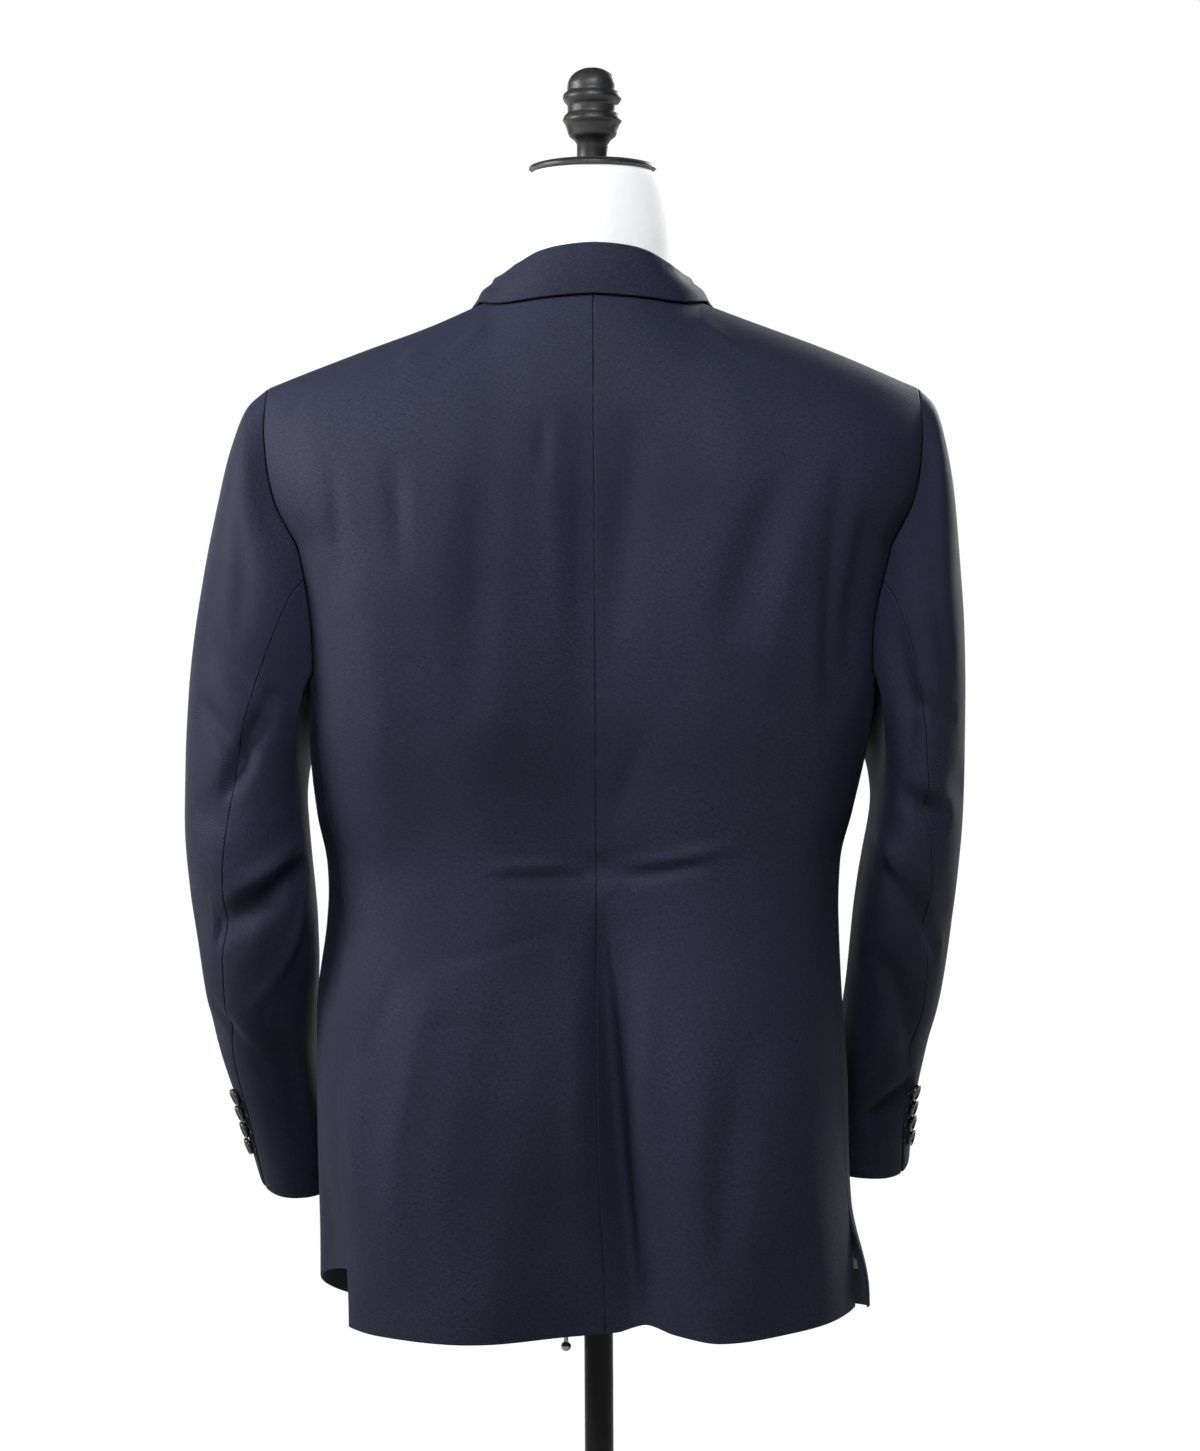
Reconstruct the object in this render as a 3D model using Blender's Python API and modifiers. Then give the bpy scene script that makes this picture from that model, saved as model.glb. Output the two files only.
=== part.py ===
"""A tuxedo jacket, worn by a limbless dress form that stands on a round base.

Metres, +Z up.  The wearer faces -Y, so the wearer's left is +X.  The origin is on the floor,
in the middle of the base plate's underside, on the pole's axis.

The jacket is a set of cloth walls.  Its body is one surface, Figure.point(turn, level): turn runs
round the figure in degrees from the middle of the back (0) over the left side (90) to the front
(180), and over the right side it is negative; level runs from the hem (-1) to the chest line (0)
and on over the shoulder to the shoulder seam (1).  Each panel is a stretch of that surface
between two seams.  A sleeve is a set of rings whose first one is the armhole's own edge.
"""

import math

import bmesh
import bpy
import numpy as np
from mathutils import Matrix, Vector

# ------------------------------------------------------------------ cloth
WALL = 0.0018  # suiting with its canvas
SEAM_GAP = 0.0003  # between two pieces that a seam joins
ARMHOLE_GAP, TIP_GAP = 0.0004, 0.0004  # round the armhole, and more at the shoulder's tip
LAY_GAP = 0.0009  # between a piece and the panel that it lies on
STRIP_GAP = 0.0013  # the same under a narrow strip, whose few facets follow the panel less well

# ------------------------------------------------------------------ heights above the floor
HEM_Z = 0.703
VENT_TOP_Z = 0.930
BUTTON_Z = 1.035
CHEST_Z = 1.205
SHOULDER_TIP_Z = 1.3985
NECK_SEAM_Z = 1.4627  # where the shoulder seam reaches the collar

# ------------------------------------------------------------------ plan sizes
SHOULDER_TIP_X = 0.244
NECK_SEAM_X = 0.080
BACK_NECK_Y = 0.0645
NECKLINE_POWER = 2.2
SHOULDER_SLOPE = (NECK_SEAM_Z - SHOULDER_TIP_Z) / (SHOULDER_TIP_X - NECK_SEAM_X)
RIDGE_Y = -0.005  # the shoulder seam's place, front to back
ARCH_POWER = 2.35  # fullness from the chest line to the shoulder seam; 2 is an ellipse
UNDERARM_DIP = 0.032  # the chest line sinks this much under the arm
DIP_WIDTH = 32.0  # in degrees of turn
TRAPEZIUS = 0.030  # how far the neck's root rises over the shoulder's own line

# The horizontal sections.  back, side and front are half widths, middle and blade are the depth
# behind the axis at the centre seam and at the shoulder blades, and chest is the depth in front.
SECTION_COLUMNS = (
    "height", "back_left", "back_right", "side_left", "side_right", "front",
    "middle", "blade", "chest",
)
JACKET_SECTIONS = (
    (0.700, 0.1970, 0.1860, 0.2050, 0.1830, 0.180, 0.118, 0.142, 0.128),
    (0.780, 0.2000, 0.1850, 0.2060, 0.1840, 0.180, 0.118, 0.140, 0.127),
    (0.870, 0.2030, 0.1830, 0.2060, 0.1840, 0.176, 0.116, 0.134, 0.126),
    (0.930, 0.2030, 0.1800, 0.2050, 0.1800, 0.172, 0.110, 0.124, 0.124),
    (1.000, 0.1955, 0.1780, 0.1960, 0.1740, 0.166, 0.101, 0.110, 0.119),
    (1.043, 0.1985, 0.1810, 0.1900, 0.1690, 0.163, 0.099, 0.107, 0.118),
    (1.085, 0.2060, 0.1910, 0.1920, 0.1710, 0.166, 0.104, 0.112, 0.122),
    (1.164, 0.2125, 0.2045, 0.1960, 0.1770, 0.172, 0.116, 0.126, 0.130),
    (1.215, 0.2140, 0.2100, 0.1970, 0.1790, 0.174, 0.120, 0.130, 0.130),
)
FORM_SECTIONS = (
    (0.738, 0.164, 0.164, 0.166, 0.166, 0.158, 0.092, 0.101, 0.106),
    (0.820, 0.168, 0.168, 0.170, 0.170, 0.164, 0.094, 0.104, 0.108),
    (0.930, 0.160, 0.160, 0.162, 0.162, 0.156, 0.087, 0.095, 0.106),
    (1.040, 0.150, 0.150, 0.152, 0.152, 0.146, 0.086, 0.093, 0.104),
    (1.120, 0.160, 0.160, 0.158, 0.158, 0.152, 0.098, 0.107, 0.114),
    (1.215, 0.174, 0.174, 0.164, 0.164, 0.160, 0.111, 0.121, 0.122),
)
# The section's own shape: points of one half, as shares of the named half width and depth.
RING_COLUMNS = ("turn", "across", "width", "deep", "depth")
RING = (
    (0, 0.00, "back", 1.00, "middle"),
    (22, 0.44, "back", 1.00, "blade"),
    (47, 0.83, "back", 0.82, "blade"),
    (68, 1.00, "back", 0.36, "blade"),
    (92, 1.00, "side", -0.08, "chest"),
    (125, 0.84, "front", -0.74, "chest"),
    (152, 0.48, "front", -0.96, "chest"),
    (180, 0.00, "front", -1.00, "chest"),
)

# The armhole's edge as the back and the front panel leave it.
BACK_ARM_TURN = 62.0
FRONT_ARM_TURN = 108.0
ARMHOLE_COLUMNS = ("height", "back_x", "front_x")
ARMHOLE = (
    (1.190, 0.2090, 0.1760),
    (1.240, 0.2130, 0.1810),
    (1.270, 0.2175, 0.1880),
    (1.288, 0.2260, 0.1940),
    (1.306, 0.2345, 0.2020),
    (1.327, 0.2400, 0.2110),
    (1.345, 0.2425, 0.2190),
    (1.370, 0.2445, 0.2310),
    (1.400, 0.2440, 0.2440),
)
FORM_TIP_SHARE = 0.82  # the form's shoulder is shorter than the jacket's

# Where the two lengthwise seams of each side run, in degrees of turn.
SEAM_COLUMNS = ("height", "back_left", "back_right", "front")
SEAMS = (
    (0.700, 60.0, 66.0, 112.0),
    (0.930, 58.0, 66.0, 111.0),
    (1.040, 59.0, 65.0, 110.0),
    (1.120, 60.0, 63.5, 109.0),
    (1.205, 62.0, 62.0, 108.0),
)

# ------------------------------------------------------------------ hem and vents
HEM_COLUMNS = ("turn", "rise")
BACK_HEM = (
    (-66, 0.0120), (-40, 0.0030), (-22, -0.0030), (-13, 0.0020), (-7, 0.0080), (-2, 0.0020),
    (6, 0.0000), (26, -0.0030), (45, 0.0000), (60, 0.0020),
)
SIDE_HEM_RISE = {1: 0.043, -1: 0.012}  # at the vent, on the left and on the right
FRONT_HEM_RISE = 0.003
HEM_RISE_TURNS = 60.0
HEM_RISE_SHARE = 0.30  # the share of the skirt's height that the rise takes to fade out
VENT_LAP_TURN = {1: 4.0, -1: 0.0}  # the side body reaches this far under the back panel
VENT_STEP, VENT_FADE, VENT_SUNK_ABOVE = 0.004, 0.040, 0.036
SUNK_TURNS = 14.0  # how far round the side body is sunk under the back panel
FLARE, FLARE_TOP_Z, FLARE_HIGH, FLARE_TURNS = 0.010, 0.790, 0.075, 16.0  # right vent's corner
SEAM_DRIFT = 0.005  # the centre seam hangs this far to the right at the hem
SEAM_DRIFT_TOP_Z = 0.860

# ------------------------------------------------------------------ folds of the back
# A fold is a trough along a line, from x and height to x and height.
FOLD_COLUMNS = ("from_x", "from_z", "to_x", "to_z", "half_width", "depth")
BACK_FOLDS = (
    (-0.0050, 1.010, -0.0235, 0.670, 0.017, 0.0140),
    (0.0350, 1.040, -0.0650, 1.043, 0.009, 0.0035),
    (-0.2000, 1.330, -0.1760, 1.150, 0.011, 0.0070),
    (-0.1350, 1.325, -0.1000, 1.200, 0.015, 0.0045),
    (0.0120, 1.320, 0.0080, 1.140, 0.012, 0.0035),
    (0.0850, 1.320, 0.0850, 1.150, 0.017, 0.0030),
)

# ------------------------------------------------------------------ fronts
FRONT_EDGE_COLUMNS = ("height", "past_middle")
FRONT_EDGE = (  # how far the front's edge lies past the middle; negative is cut away from it
    (0.703, -0.118),
    (0.708, -0.092),
    (0.722, -0.064),
    (0.750, -0.042),
    (0.800, -0.020),
    (0.880, 0.000),
    (0.960, 0.014),
    (1.035, 0.019),
)
FRONT_PAST_MIDDLE = 0.019
LEFT_OVER_RIGHT = WALL + LAY_GAP
OVERLAP_FROM_X, OVERLAP_TO_X = 0.045, 0.022  # the left front rises over the right one here

# ------------------------------------------------------------------ lapels
ROLL_LOW = (-FRONT_PAST_MIDDLE, BUTTON_Z)  # the roll line, as x and height
ROLL_HIGH = (NECK_SEAM_X, 1.452)
LAPEL_COLUMNS = ("along", "width")
LAPEL_EDGE = (
    (0.00, 0.005),
    (0.12, 0.027),
    (0.30, 0.053),
    (0.55, 0.078),
    (0.80, 0.093),
    (1.00, 0.101),
)
LAPEL_TOP_COLUMNS = ("across", "along")
LAPEL_TOP = ((0.00, 0.905), (0.42, 0.868), (0.47, 0.872), (1.00, 0.938))
RIGHT_LAPEL_START = 0.11  # lower down the left front covers it
LAPEL_ROLL = 0.0045  # the lapel stands this much off the front at its roll
LAPEL_LIFT = 0.0003  # more at its outer edge, where the chest rounds away
LAPEL_PEAK_LIFT = 0.0015
LAPEL_CLEAR = 0.0010

# ------------------------------------------------------------------ collar
# Stations from the middle of the back (-1) past the shoulder seam (0) to the gorge (1).  stand
# is the fold's height over the neck seam, lean how far it stands out from it, and cover how far
# the fall's edge reaches past the neck seam over the coat.
COLLAR_COLUMNS = ("along", "stand", "lean", "cover")
COLLAR = (
    (-1.00, 0.0255, 0.0000, 0.0055),
    (-0.60, 0.0255, -0.0010, 0.0060),
    (-0.30, 0.0220, -0.0050, 0.0060),
    (0.00, 0.0155, -0.0090, 0.0055),
    (0.30, 0.0140, -0.0090, 0.0130),
    (0.60, 0.0105, -0.0060, 0.0270),
    (1.00, 0.0060, -0.0020, 0.0430),
)
COLLAR_WALL = 0.0018
COLLAR_FOLD = 0.0030  # the fold's inner radius
COLLAR_LIFT = 0.0022  # from the coat to the middle of the collar's wall
GORGE_GAP = 0.0110  # as a share of the roll line
COLLAR_TURNING = 1.5  # how late the fall turns from backwards to sideways
BELLY_SHARE, BELLY_OUT, BELLY_UP = 0.55, 0.0015, 0.0010  # the fall's roundness half way down
COLLAR_STATIONS, STATION_SPREAD = 16, 1.4  # on each side, closer together by the shoulder

# ------------------------------------------------------------------ sleeves
# Each ring is given by four points: the outermost and innermost as x and height, the rearmost
# and foremost as y and height.  The first ring only stands for the armhole.
SLEEVE_COLUMNS = (
    "outer_x", "outer_z", "inner_x", "inner_z", "back_y", "back_z", "front_y", "front_z",
)
LEFT_SLEEVE = (
    (0.2430, 1.3980, 0.2060, 1.1740, 0.060, 1.270, -0.066, 1.270),
    (0.2580, 1.3840, 0.2120, 1.1590, 0.071, 1.254, -0.074, 1.258),
    (0.2690, 1.3560, 0.2140, 1.1410, 0.078, 1.232, -0.077, 1.238),
    (0.2800, 1.3160, 0.2160, 1.1220, 0.082, 1.204, -0.077, 1.212),
    (0.2915, 1.2680, 0.2165, 1.0970, 0.084, 1.170, -0.076, 1.180),
    (0.2990, 1.2190, 0.2150, 1.0710, 0.085, 1.134, -0.075, 1.146),
    (0.3040, 1.1700, 0.2130, 1.0460, 0.085, 1.098, -0.075, 1.112),
    (0.3065, 1.1250, 0.2110, 1.0220, 0.082, 1.064, -0.076, 1.080),
    (0.3070, 1.0800, 0.2100, 0.9980, 0.076, 1.030, -0.079, 1.050),
    (0.3050, 1.0350, 0.2100, 0.9740, 0.067, 0.997, -0.086, 1.020),
    (0.3010, 0.9900, 0.2110, 0.9460, 0.051, 0.962, -0.097, 0.990),
    (0.2965, 0.9450, 0.2110, 0.9150, 0.029, 0.924, -0.112, 0.958),
    (0.2880, 0.9000, 0.2080, 0.8820, 0.001, 0.882, -0.129, 0.924),
    (0.2760, 0.8560, 0.2010, 0.8490, -0.030, 0.835, -0.146, 0.888),
    (0.2640, 0.8120, 0.1930, 0.8160, -0.060, 0.784, -0.161, 0.852),
)
RIGHT_SLEEVE = (
    (0.2430, 1.3980, 0.2060, 1.1740, 0.060, 1.270, -0.066, 1.270),
    (0.2560, 1.3840, 0.2090, 1.1590, 0.071, 1.254, -0.074, 1.258),
    (0.2640, 1.3560, 0.2090, 1.1410, 0.078, 1.232, -0.077, 1.238),
    (0.2700, 1.3160, 0.2085, 1.1220, 0.083, 1.204, -0.077, 1.212),
    (0.2735, 1.2680, 0.2065, 1.0970, 0.086, 1.170, -0.077, 1.180),
    (0.2760, 1.2190, 0.2035, 1.0710, 0.087, 1.134, -0.077, 1.146),
    (0.2770, 1.1700, 0.1990, 1.0460, 0.087, 1.098, -0.077, 1.112),
    (0.2765, 1.1250, 0.1950, 1.0220, 0.084, 1.064, -0.078, 1.080),
    (0.2750, 1.0800, 0.1920, 0.9980, 0.078, 1.030, -0.081, 1.050),
    (0.2715, 1.0350, 0.1900, 0.9740, 0.068, 0.997, -0.088, 1.020),
    (0.2660, 0.9900, 0.1880, 0.9460, 0.052, 0.962, -0.099, 0.990),
    (0.2590, 0.9450, 0.1850, 0.9150, 0.030, 0.924, -0.114, 0.958),
    (0.2490, 0.9000, 0.1800, 0.8820, 0.003, 0.884, -0.131, 0.924),
    (0.2430, 0.8560, 0.1740, 0.8530, -0.028, 0.842, -0.147, 0.890),
    (0.2410, 0.8170, 0.1690, 0.8210, -0.056, 0.797, -0.161, 0.857),
)
SLEEVE_POWER = 2.25
SLEEVE_BACK_TURN = (104.0, 42.0)  # the back seam round the sleeve, at the armhole and the cuff
SLEEVE_FRONT_TURN = (250.0, 214.0)  # the inner seam
SEAM_WANDER = 1.3  # how late down the sleeve the seams do their turning
SEAT_SHARE = 0.34  # the share of the sleeve over which it leaves the armhole's own shape
CUFF_VENT, CUFF_NOTCH_TURN = 0.10, 3.5  # the vent's share of the sleeve, and how it gapes
FOLD_FACING = 0.2  # a trough stays on the side of the sleeve that faces as its middle does
# A trough over a sleeve, from a share of its length and a turn round it to another such place.
SLEEVE_FOLD_COLUMNS = ("side", "from_share", "from_turn", "to_share", "to_turn", "half", "depth")
SLEEVE_FOLDS = (
    (1, 0.555, 36.0, 0.470, 92.0, 0.014, 0.0050),
    (1, 0.690, 20.0, 0.610, 100.0, 0.022, 0.0060),
    (1, 0.830, 10.0, 0.800, 70.0, 0.015, 0.0030),
    (-1, 0.600, 84.0, 0.720, 24.0, 0.014, 0.0060),
    (-1, 0.500, 60.0, 0.530, 20.0, 0.015, 0.0040),
    (-1, 0.860, 20.0, 0.820, 80.0, 0.014, 0.0030),
)

# ------------------------------------------------------------------ small pieces
BUTTON_R, BUTTON_THICK = 0.0100, 0.0042
CUFF_BUTTON_R, CUFF_BUTTON_THICK, CUFF_BUTTONS = 0.0068, 0.0034, 4
CUFF_BUTTON_SHARES = (0.955, 0.935, 0.915, 0.895)  # down the sleeve
CUFF_BUTTON_IN = 13.0  # from the vent's edge, in degrees round the sleeve
BUTTON_SHANK = 0.0008
FRONT_BUTTON_LIFT = 0.0012  # the wider button spans more of the front's curve
BUTTON_SIDES = 16
POCKET_X, POCKET_Z, POCKET_WIDE, POCKET_TILT = 0.095, 0.890, 0.116, 0.06
JET_HIGH, JET_THICK = 0.0060, 0.0015
WELT_X, WELT_Z, WELT_WIDE, WELT_HIGH, WELT_TILT = 0.1395, 1.212, 0.058, 0.023, 0.14

# ------------------------------------------------------------------ dress form and stand
NECK_CLEARANCE, NECK_CLEAR_X = 0.7, 0.125  # the form keeps this much lower at the neck
FORM_CLEARANCE = 0.0009  # between the form's shoulders and the coat that hangs on them
FORM_BOTTOM_Z = 0.738
NECK_COLUMNS = ("radius", "height")
NECK = ((0.0478, 1.5619), (0.0535, 1.5400), (0.0572, 1.5150), (0.0580, 1.4900), (0.0600, 1.4300))
CAP_R, CAP_BOTTOM_Z, CAP_THICK, CAP_EDGE = 0.0478, 1.5622, 0.0080, 0.0020
FINIAL_COLUMNS = ("radius", "above_cap")
FINIAL = (
    (0.0050, 0.0684), (0.0110, 0.0662), (0.0160, 0.0620), (0.0185, 0.0560), (0.0188, 0.0515),
    (0.0212, 0.0492), (0.0222, 0.0462), (0.0208, 0.0430), (0.0186, 0.0400), (0.0185, 0.0355),
    (0.0210, 0.0325), (0.0222, 0.0292), (0.0205, 0.0262), (0.0192, 0.0228), (0.0178, 0.0180),
    (0.0135, 0.0140), (0.0117, 0.0112),
)
FINIAL_TOP = 0.0687
POLE_R, POLE_BOTTOM_Z, POLE_TOP_Z = 0.0108, 0.0043, 0.888
BORE_GAP = 0.0004
BORE_TOP_Z = 1.050
SOCKET_R, SOCKET_BOTTOM_Z = 0.0180, 0.7250
CLAMP_R, CLAMP_BOTTOM_Z, CLAMP_TOP_Z = 0.0180, 0.6965, 0.7247
KNOB_Z, KNOB_X, KNOB_BALL_R, BAR_R, SCREW_R = 0.7060, 0.0245, 0.0039, 0.0016, 0.0030
BAR_HALF, SCREW_END_X, SCREW_GAP = 0.0270, 0.0114, 0.0003
BASE_R, BASE_THICK, BASE_EDGE = 0.190, 0.009, 0.003
HUB_R, HUB_TOP_Z, HUB_FLOOR_Z = 0.021, 0.034, 0.0040
FACE_GAP = 0.0003

# ------------------------------------------------------------------ meshing
LOW_LEVELS = -1 + np.linspace(0, 1, 14) ** 1.2
HIGH_LEVELS = np.array([0.09, 0.18, 0.28, 0.38, 0.48, 0.58, 0.68, 0.78, 0.87, 0.94, 1.0])
NECK_SHARES = (0.0, 0.32, 0.58, 0.80, 0.94, 1.0)
BACK_COLUMNS_PAST_NECK, SIDE_COLUMNS, FRONT_COLUMNS = 7, 5, 11
SLEEVE_ROWS, ROW_SPREAD = 17, 1.08
SIDE_SPREAD = 1.15
FADE_POWER = 0.8  # how a fold fades out along its line
LAPEL_ROWS, LAPEL_COLUMNS_ACROSS = 12, 5
SOLVER_STEPS, NECKLINE_STEPS = 30, 4
FORM_TURNS, ROUND_SIDES, FINIAL_SIDES, BASE_SIDES, BAR_SIDES = 36, 28, 18, 36, 12

# ------------------------------------------------------------------ colours, roughness, metallic
WOOL = ((0.034, 0.037, 0.060), 0.85, 0.0)
SATIN = ((0.020, 0.022, 0.038), 0.35, 0.0)
HORN = ((0.015, 0.015, 0.020), 0.40, 0.0)
JERSEY = ((0.86, 0.86, 0.84), 0.90, 0.0)
BLACK_WOOD = ((0.020, 0.020, 0.021), 0.30, 0.0)
BLACK_PAINT = ((0.030, 0.029, 0.030), 0.45, 0.0)
STEEL = ((0.30, 0.30, 0.30), 0.35, 1.0)


SIDE_NAMES = {1: "left", -1: "right"}


# ================================================================== tables and curves
def curve(rows, columns, key, value):
    """A smooth curve through one column of a table as a function of another column."""
    x = np.array([row[columns.index(key)] for row in rows], float)
    y = np.array([row[columns.index(value)] for row in rows], float)
    step = np.diff(y) / np.diff(x)
    slope = np.zeros(len(x))
    turning = step[:-1] * step[1:] <= 0
    slope[1:-1] = np.where(
        turning, 0.0, 2 * step[:-1] * step[1:] / np.where(turning, 1.0, step[:-1] + step[1:])
    )
    slope[0], slope[-1] = step[0], step[-1]

    def at(place):
        p = np.clip(np.asarray(place, float), x[0], x[-1])
        i = np.clip(np.searchsorted(x, p) - 1, 0, len(x) - 2)
        long = x[i + 1] - x[i]
        t = (p - x[i]) / long
        return (
            y[i] * (1 + 2 * t) * (1 - t) ** 2
            + slope[i] * long * t * (1 - t) ** 2
            + y[i + 1] * t * t * (3 - 2 * t)
            + slope[i + 1] * long * t * t * (t - 1)
        )

    return at


def ease(t):
    t = np.clip(t, 0, 1)
    return t * t * (3 - 2 * t)


def powered(value, power):
    return np.sign(value) * np.abs(value) ** (2 / power)


def unit(vectors):
    return vectors / np.maximum(np.linalg.norm(vectors, axis=-1, keepdims=True), 1e-12)


def trough(x, z, fold):
    """0 to 1: how near a place is to a fold's line, fading out along it towards its ends."""
    start = np.array([fold["from_x"], fold["from_z"]])
    run = np.array([fold["to_x"], fold["to_z"]]) - start
    long = np.hypot(*run)
    along = ((x - start[0]) * run[0] + (z - start[1]) * run[1]) / long**2
    off = np.abs((x - start[0]) * run[1] - (z - start[1]) * run[0]) / long
    return np.sin(math.pi * np.clip(along, 0, 1)) ** FADE_POWER * np.exp(-((off / fold["half_width"]) ** 2))


# ================================================================== the figure
class Figure:
    """The surface of a dressed or a bare torso, from its sections and its shoulders."""

    def __init__(self, sections, drop, tip_share):
        self.size = {
            name: curve(sections, SECTION_COLUMNS, "height", name) for name in SECTION_COLUMNS[1:]
        }
        self.drop = drop
        self.back_x = curve(ARMHOLE, ARMHOLE_COLUMNS, "height", "back_x")
        self.front_x = curve(ARMHOLE, ARMHOLE_COLUMNS, "height", "front_x")
        self.tip_share = tip_share
        self.knots = sorted(
            (side * row[0] + lap, side, row)
            for lap in (-360, 0, 360)
            for side in (-1, 1)
            for row in RING
            if not (side < 0 and row[0] in (0, 180)) and abs(side * row[0] + lap) < 300
        )
        # The half widths at the armhole's two edges, on the chest line.
        self.arm_x = {
            (side, turn): abs(float(self.section(side * turn, CHEST_Z)[..., 0]))
            for side in (-1, 1)
            for turn in (BACK_ARM_TURN, FRONT_ARM_TURN)
        }

    def section(self, turn, height):
        """A point of the horizontal section: x and y."""
        turn = np.mod(np.asarray(turn, float) + 180, 360) - 180
        turns = np.array([knot[0] for knot in self.knots], float)
        size = {name: read(height) + 0 * turn for name, read in self.size.items()}
        places = []
        for _, side, (_, across, width, deep, depth) in self.knots:
            if width != "front":
                width += "_left" if side > 0 else "_right"
            places.append(np.stack([side * across * size[width], deep * size[depth]], -1))
        places = np.stack(places)
        slopes = np.zeros_like(places)
        span = (turns[2:] - turns[:-2]).reshape((-1,) + (1,) * (places.ndim - 1))
        slopes[1:-1] = (places[2:] - places[:-2]) / span
        i = np.clip(np.searchsorted(turns, turn) - 1, 1, len(turns) - 3)
        spots = tuple(np.indices(turn.shape))
        long = (turns[i + 1] - turns[i])[..., None]
        t = (turn - turns[i])[..., None] / long
        return (
            places[(i,) + spots] * (1 + 2 * t) * (1 - t) ** 2
            + slopes[(i,) + spots] * long * t * (1 - t) ** 2
            + places[(i + 1,) + spots] * t * t * (3 - 2 * t)
            + slopes[(i + 1,) + spots] * long * t * t * (t - 1)
        )

    def ridge_z(self, x):
        """The shoulder line's height at x."""
        share = np.minimum(np.abs(x) / NECK_SEAM_X, 1)
        inside = NECK_SEAM_X * (share**2 - 1) / 2  # the line bends over smoothly at the neck
        out = np.where(share < 1, inside, np.abs(x) - NECK_SEAM_X)
        drop = self.drop * (1 + NECK_CLEARANCE * ease((NECK_CLEAR_X - np.abs(x)) / 0.03))
        return NECK_SEAM_Z - SHOULDER_SLOPE * out + TRAPEZIUS * (1 - share**2) ** 2 - drop

    def point(self, turn, level):
        """A point of the surface, at a turn in degrees and a level from -1 to 1."""
        turn, level = np.broadcast_arrays(np.asarray(turn, float), np.asarray(level, float))
        low = np.clip(level, -1, 0)
        high = np.clip(level, 0, 1) * math.pi / 2
        height = CHEST_Z + low * (CHEST_Z - HEM_Z)
        plan = self.section(turn, height)
        around = np.abs(np.mod(turn + 180, 360) - 180)
        dip = UNDERARM_DIP * np.exp(-(((around - 88) / DIP_WIDTH) ** 4))
        base_z = height - dip * ease(1 + low * 3)
        rise = np.sin(high) ** (2 / ARCH_POWER)
        lean = np.maximum(np.cos(high), 0) ** (2 / ARCH_POWER)
        # Above the chest line each column is drawn out sideways to the armhole's own x.
        left = np.mod(turn + 180, 360) >= 180
        tip_z = base_z + (SHOULDER_TIP_Z - base_z) * rise
        back_stretch = self.back_x(tip_z) / np.where(
            left, self.arm_x[1, BACK_ARM_TURN], self.arm_x[-1, BACK_ARM_TURN]
        )
        front_stretch = self.front_x(tip_z) / np.where(
            left, self.arm_x[1, FRONT_ARM_TURN], self.arm_x[-1, FRONT_ARM_TURN]
        )
        share = np.clip((around - BACK_ARM_TURN) / (FRONT_ARM_TURN - BACK_ARM_TURN), 0, 1)
        stretch = self.tip_share * (back_stretch * (1 - share) + front_stretch * share)
        stretch = 1 + (stretch - 1) * ease(np.clip(level, 0, 1) * 5)
        x = plan[..., 0] * stretch
        y = RIDGE_Y + (plan[..., 1] - RIDGE_Y) * lean
        z = base_z + (self.ridge_z(x) - base_z) * rise
        z = np.where(level > 0, z, base_z)
        return np.stack([x, np.where(level > 0, y, plan[..., 1]), z], axis=-1)

    def normal(self, turn, level):
        """The surface's outward direction."""
        turn, level = np.broadcast_arrays(np.asarray(turn, float), np.asarray(level, float))
        safe = np.clip(level, -0.996, 0.990)
        along = self.point(turn + 0.4, safe) - self.point(turn - 0.4, safe)
        up = self.point(turn, safe + 0.004) - self.point(turn, safe - 0.004)
        out = np.cross(up, along)
        out[..., 1] *= ease((1 - level) / 0.10)
        return unit(out)


JACKET = Figure(JACKET_SECTIONS, 0.0, 1.0)
FORM = Figure(
    FORM_SECTIONS, (WALL + FORM_CLEARANCE) * math.hypot(1, SHOULDER_SLOPE), FORM_TIP_SHARE
)


def coat_point(turn, level, out=0.0):
    """A point of the jacket's cloth with its folds, moved out along the cloth's normal."""
    plain = JACKET.point(turn, level)
    normal = JACKET.normal(turn, level)
    behind = ease((plain[..., 1] - 0.02) / 0.03)
    depth = np.zeros(plain.shape[:-1])
    for row in BACK_FOLDS:
        fold = dict(zip(FOLD_COLUMNS, row))
        depth = depth + fold["depth"] * trough(plain[..., 0], plain[..., 2], fold)
    drift = SEAM_DRIFT * ease((SEAM_DRIFT_TOP_Z - plain[..., 2]) / (SEAM_DRIFT_TOP_Z - HEM_Z))
    plain = plain - np.stack([drift * behind, 0 * drift, 0 * drift], -1)
    return plain + normal * (np.asarray(out) - depth * behind)[..., None]


def place(x, value, axis, behind):
    """The turn and level at which the back or the front has an x and a y (1) or a height (2)."""
    x, value = np.broadcast_arrays(np.asarray(x, float), np.asarray(value, float))
    turn = x * 300 if behind else 180 - x * 400
    low, high = (value - CHEST_Z) / (CHEST_Z - HEM_Z), (value - CHEST_Z) * 3.2
    level = np.full(x.shape, 0.85) if axis == 1 else np.where(value < CHEST_Z, low, high)
    wanted = np.stack([x, value], -1)
    for _ in range(SOLVER_STEPS):
        level = np.clip(level, -1, 0.985)
        here = JACKET.point(turn, level)[..., [0, axis]]
        by_turn = (JACKET.point(turn + 0.2, level)[..., [0, axis]] - here) / 0.2
        by_level = (JACKET.point(turn, level + 0.004)[..., [0, axis]] - here) / 0.004
        miss = wanted - here
        area = by_turn[..., 0] * by_level[..., 1] - by_turn[..., 1] * by_level[..., 0]
        turn_step = (miss[..., 0] * by_level[..., 1] - miss[..., 1] * by_level[..., 0]) / area
        level_step = (by_turn[..., 0] * miss[..., 1] - by_turn[..., 1] * miss[..., 0]) / area
        turn = turn + np.clip(turn_step, -8, 8)
        level = level + np.clip(level_step, -0.08, 0.08)
    return turn, level


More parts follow.
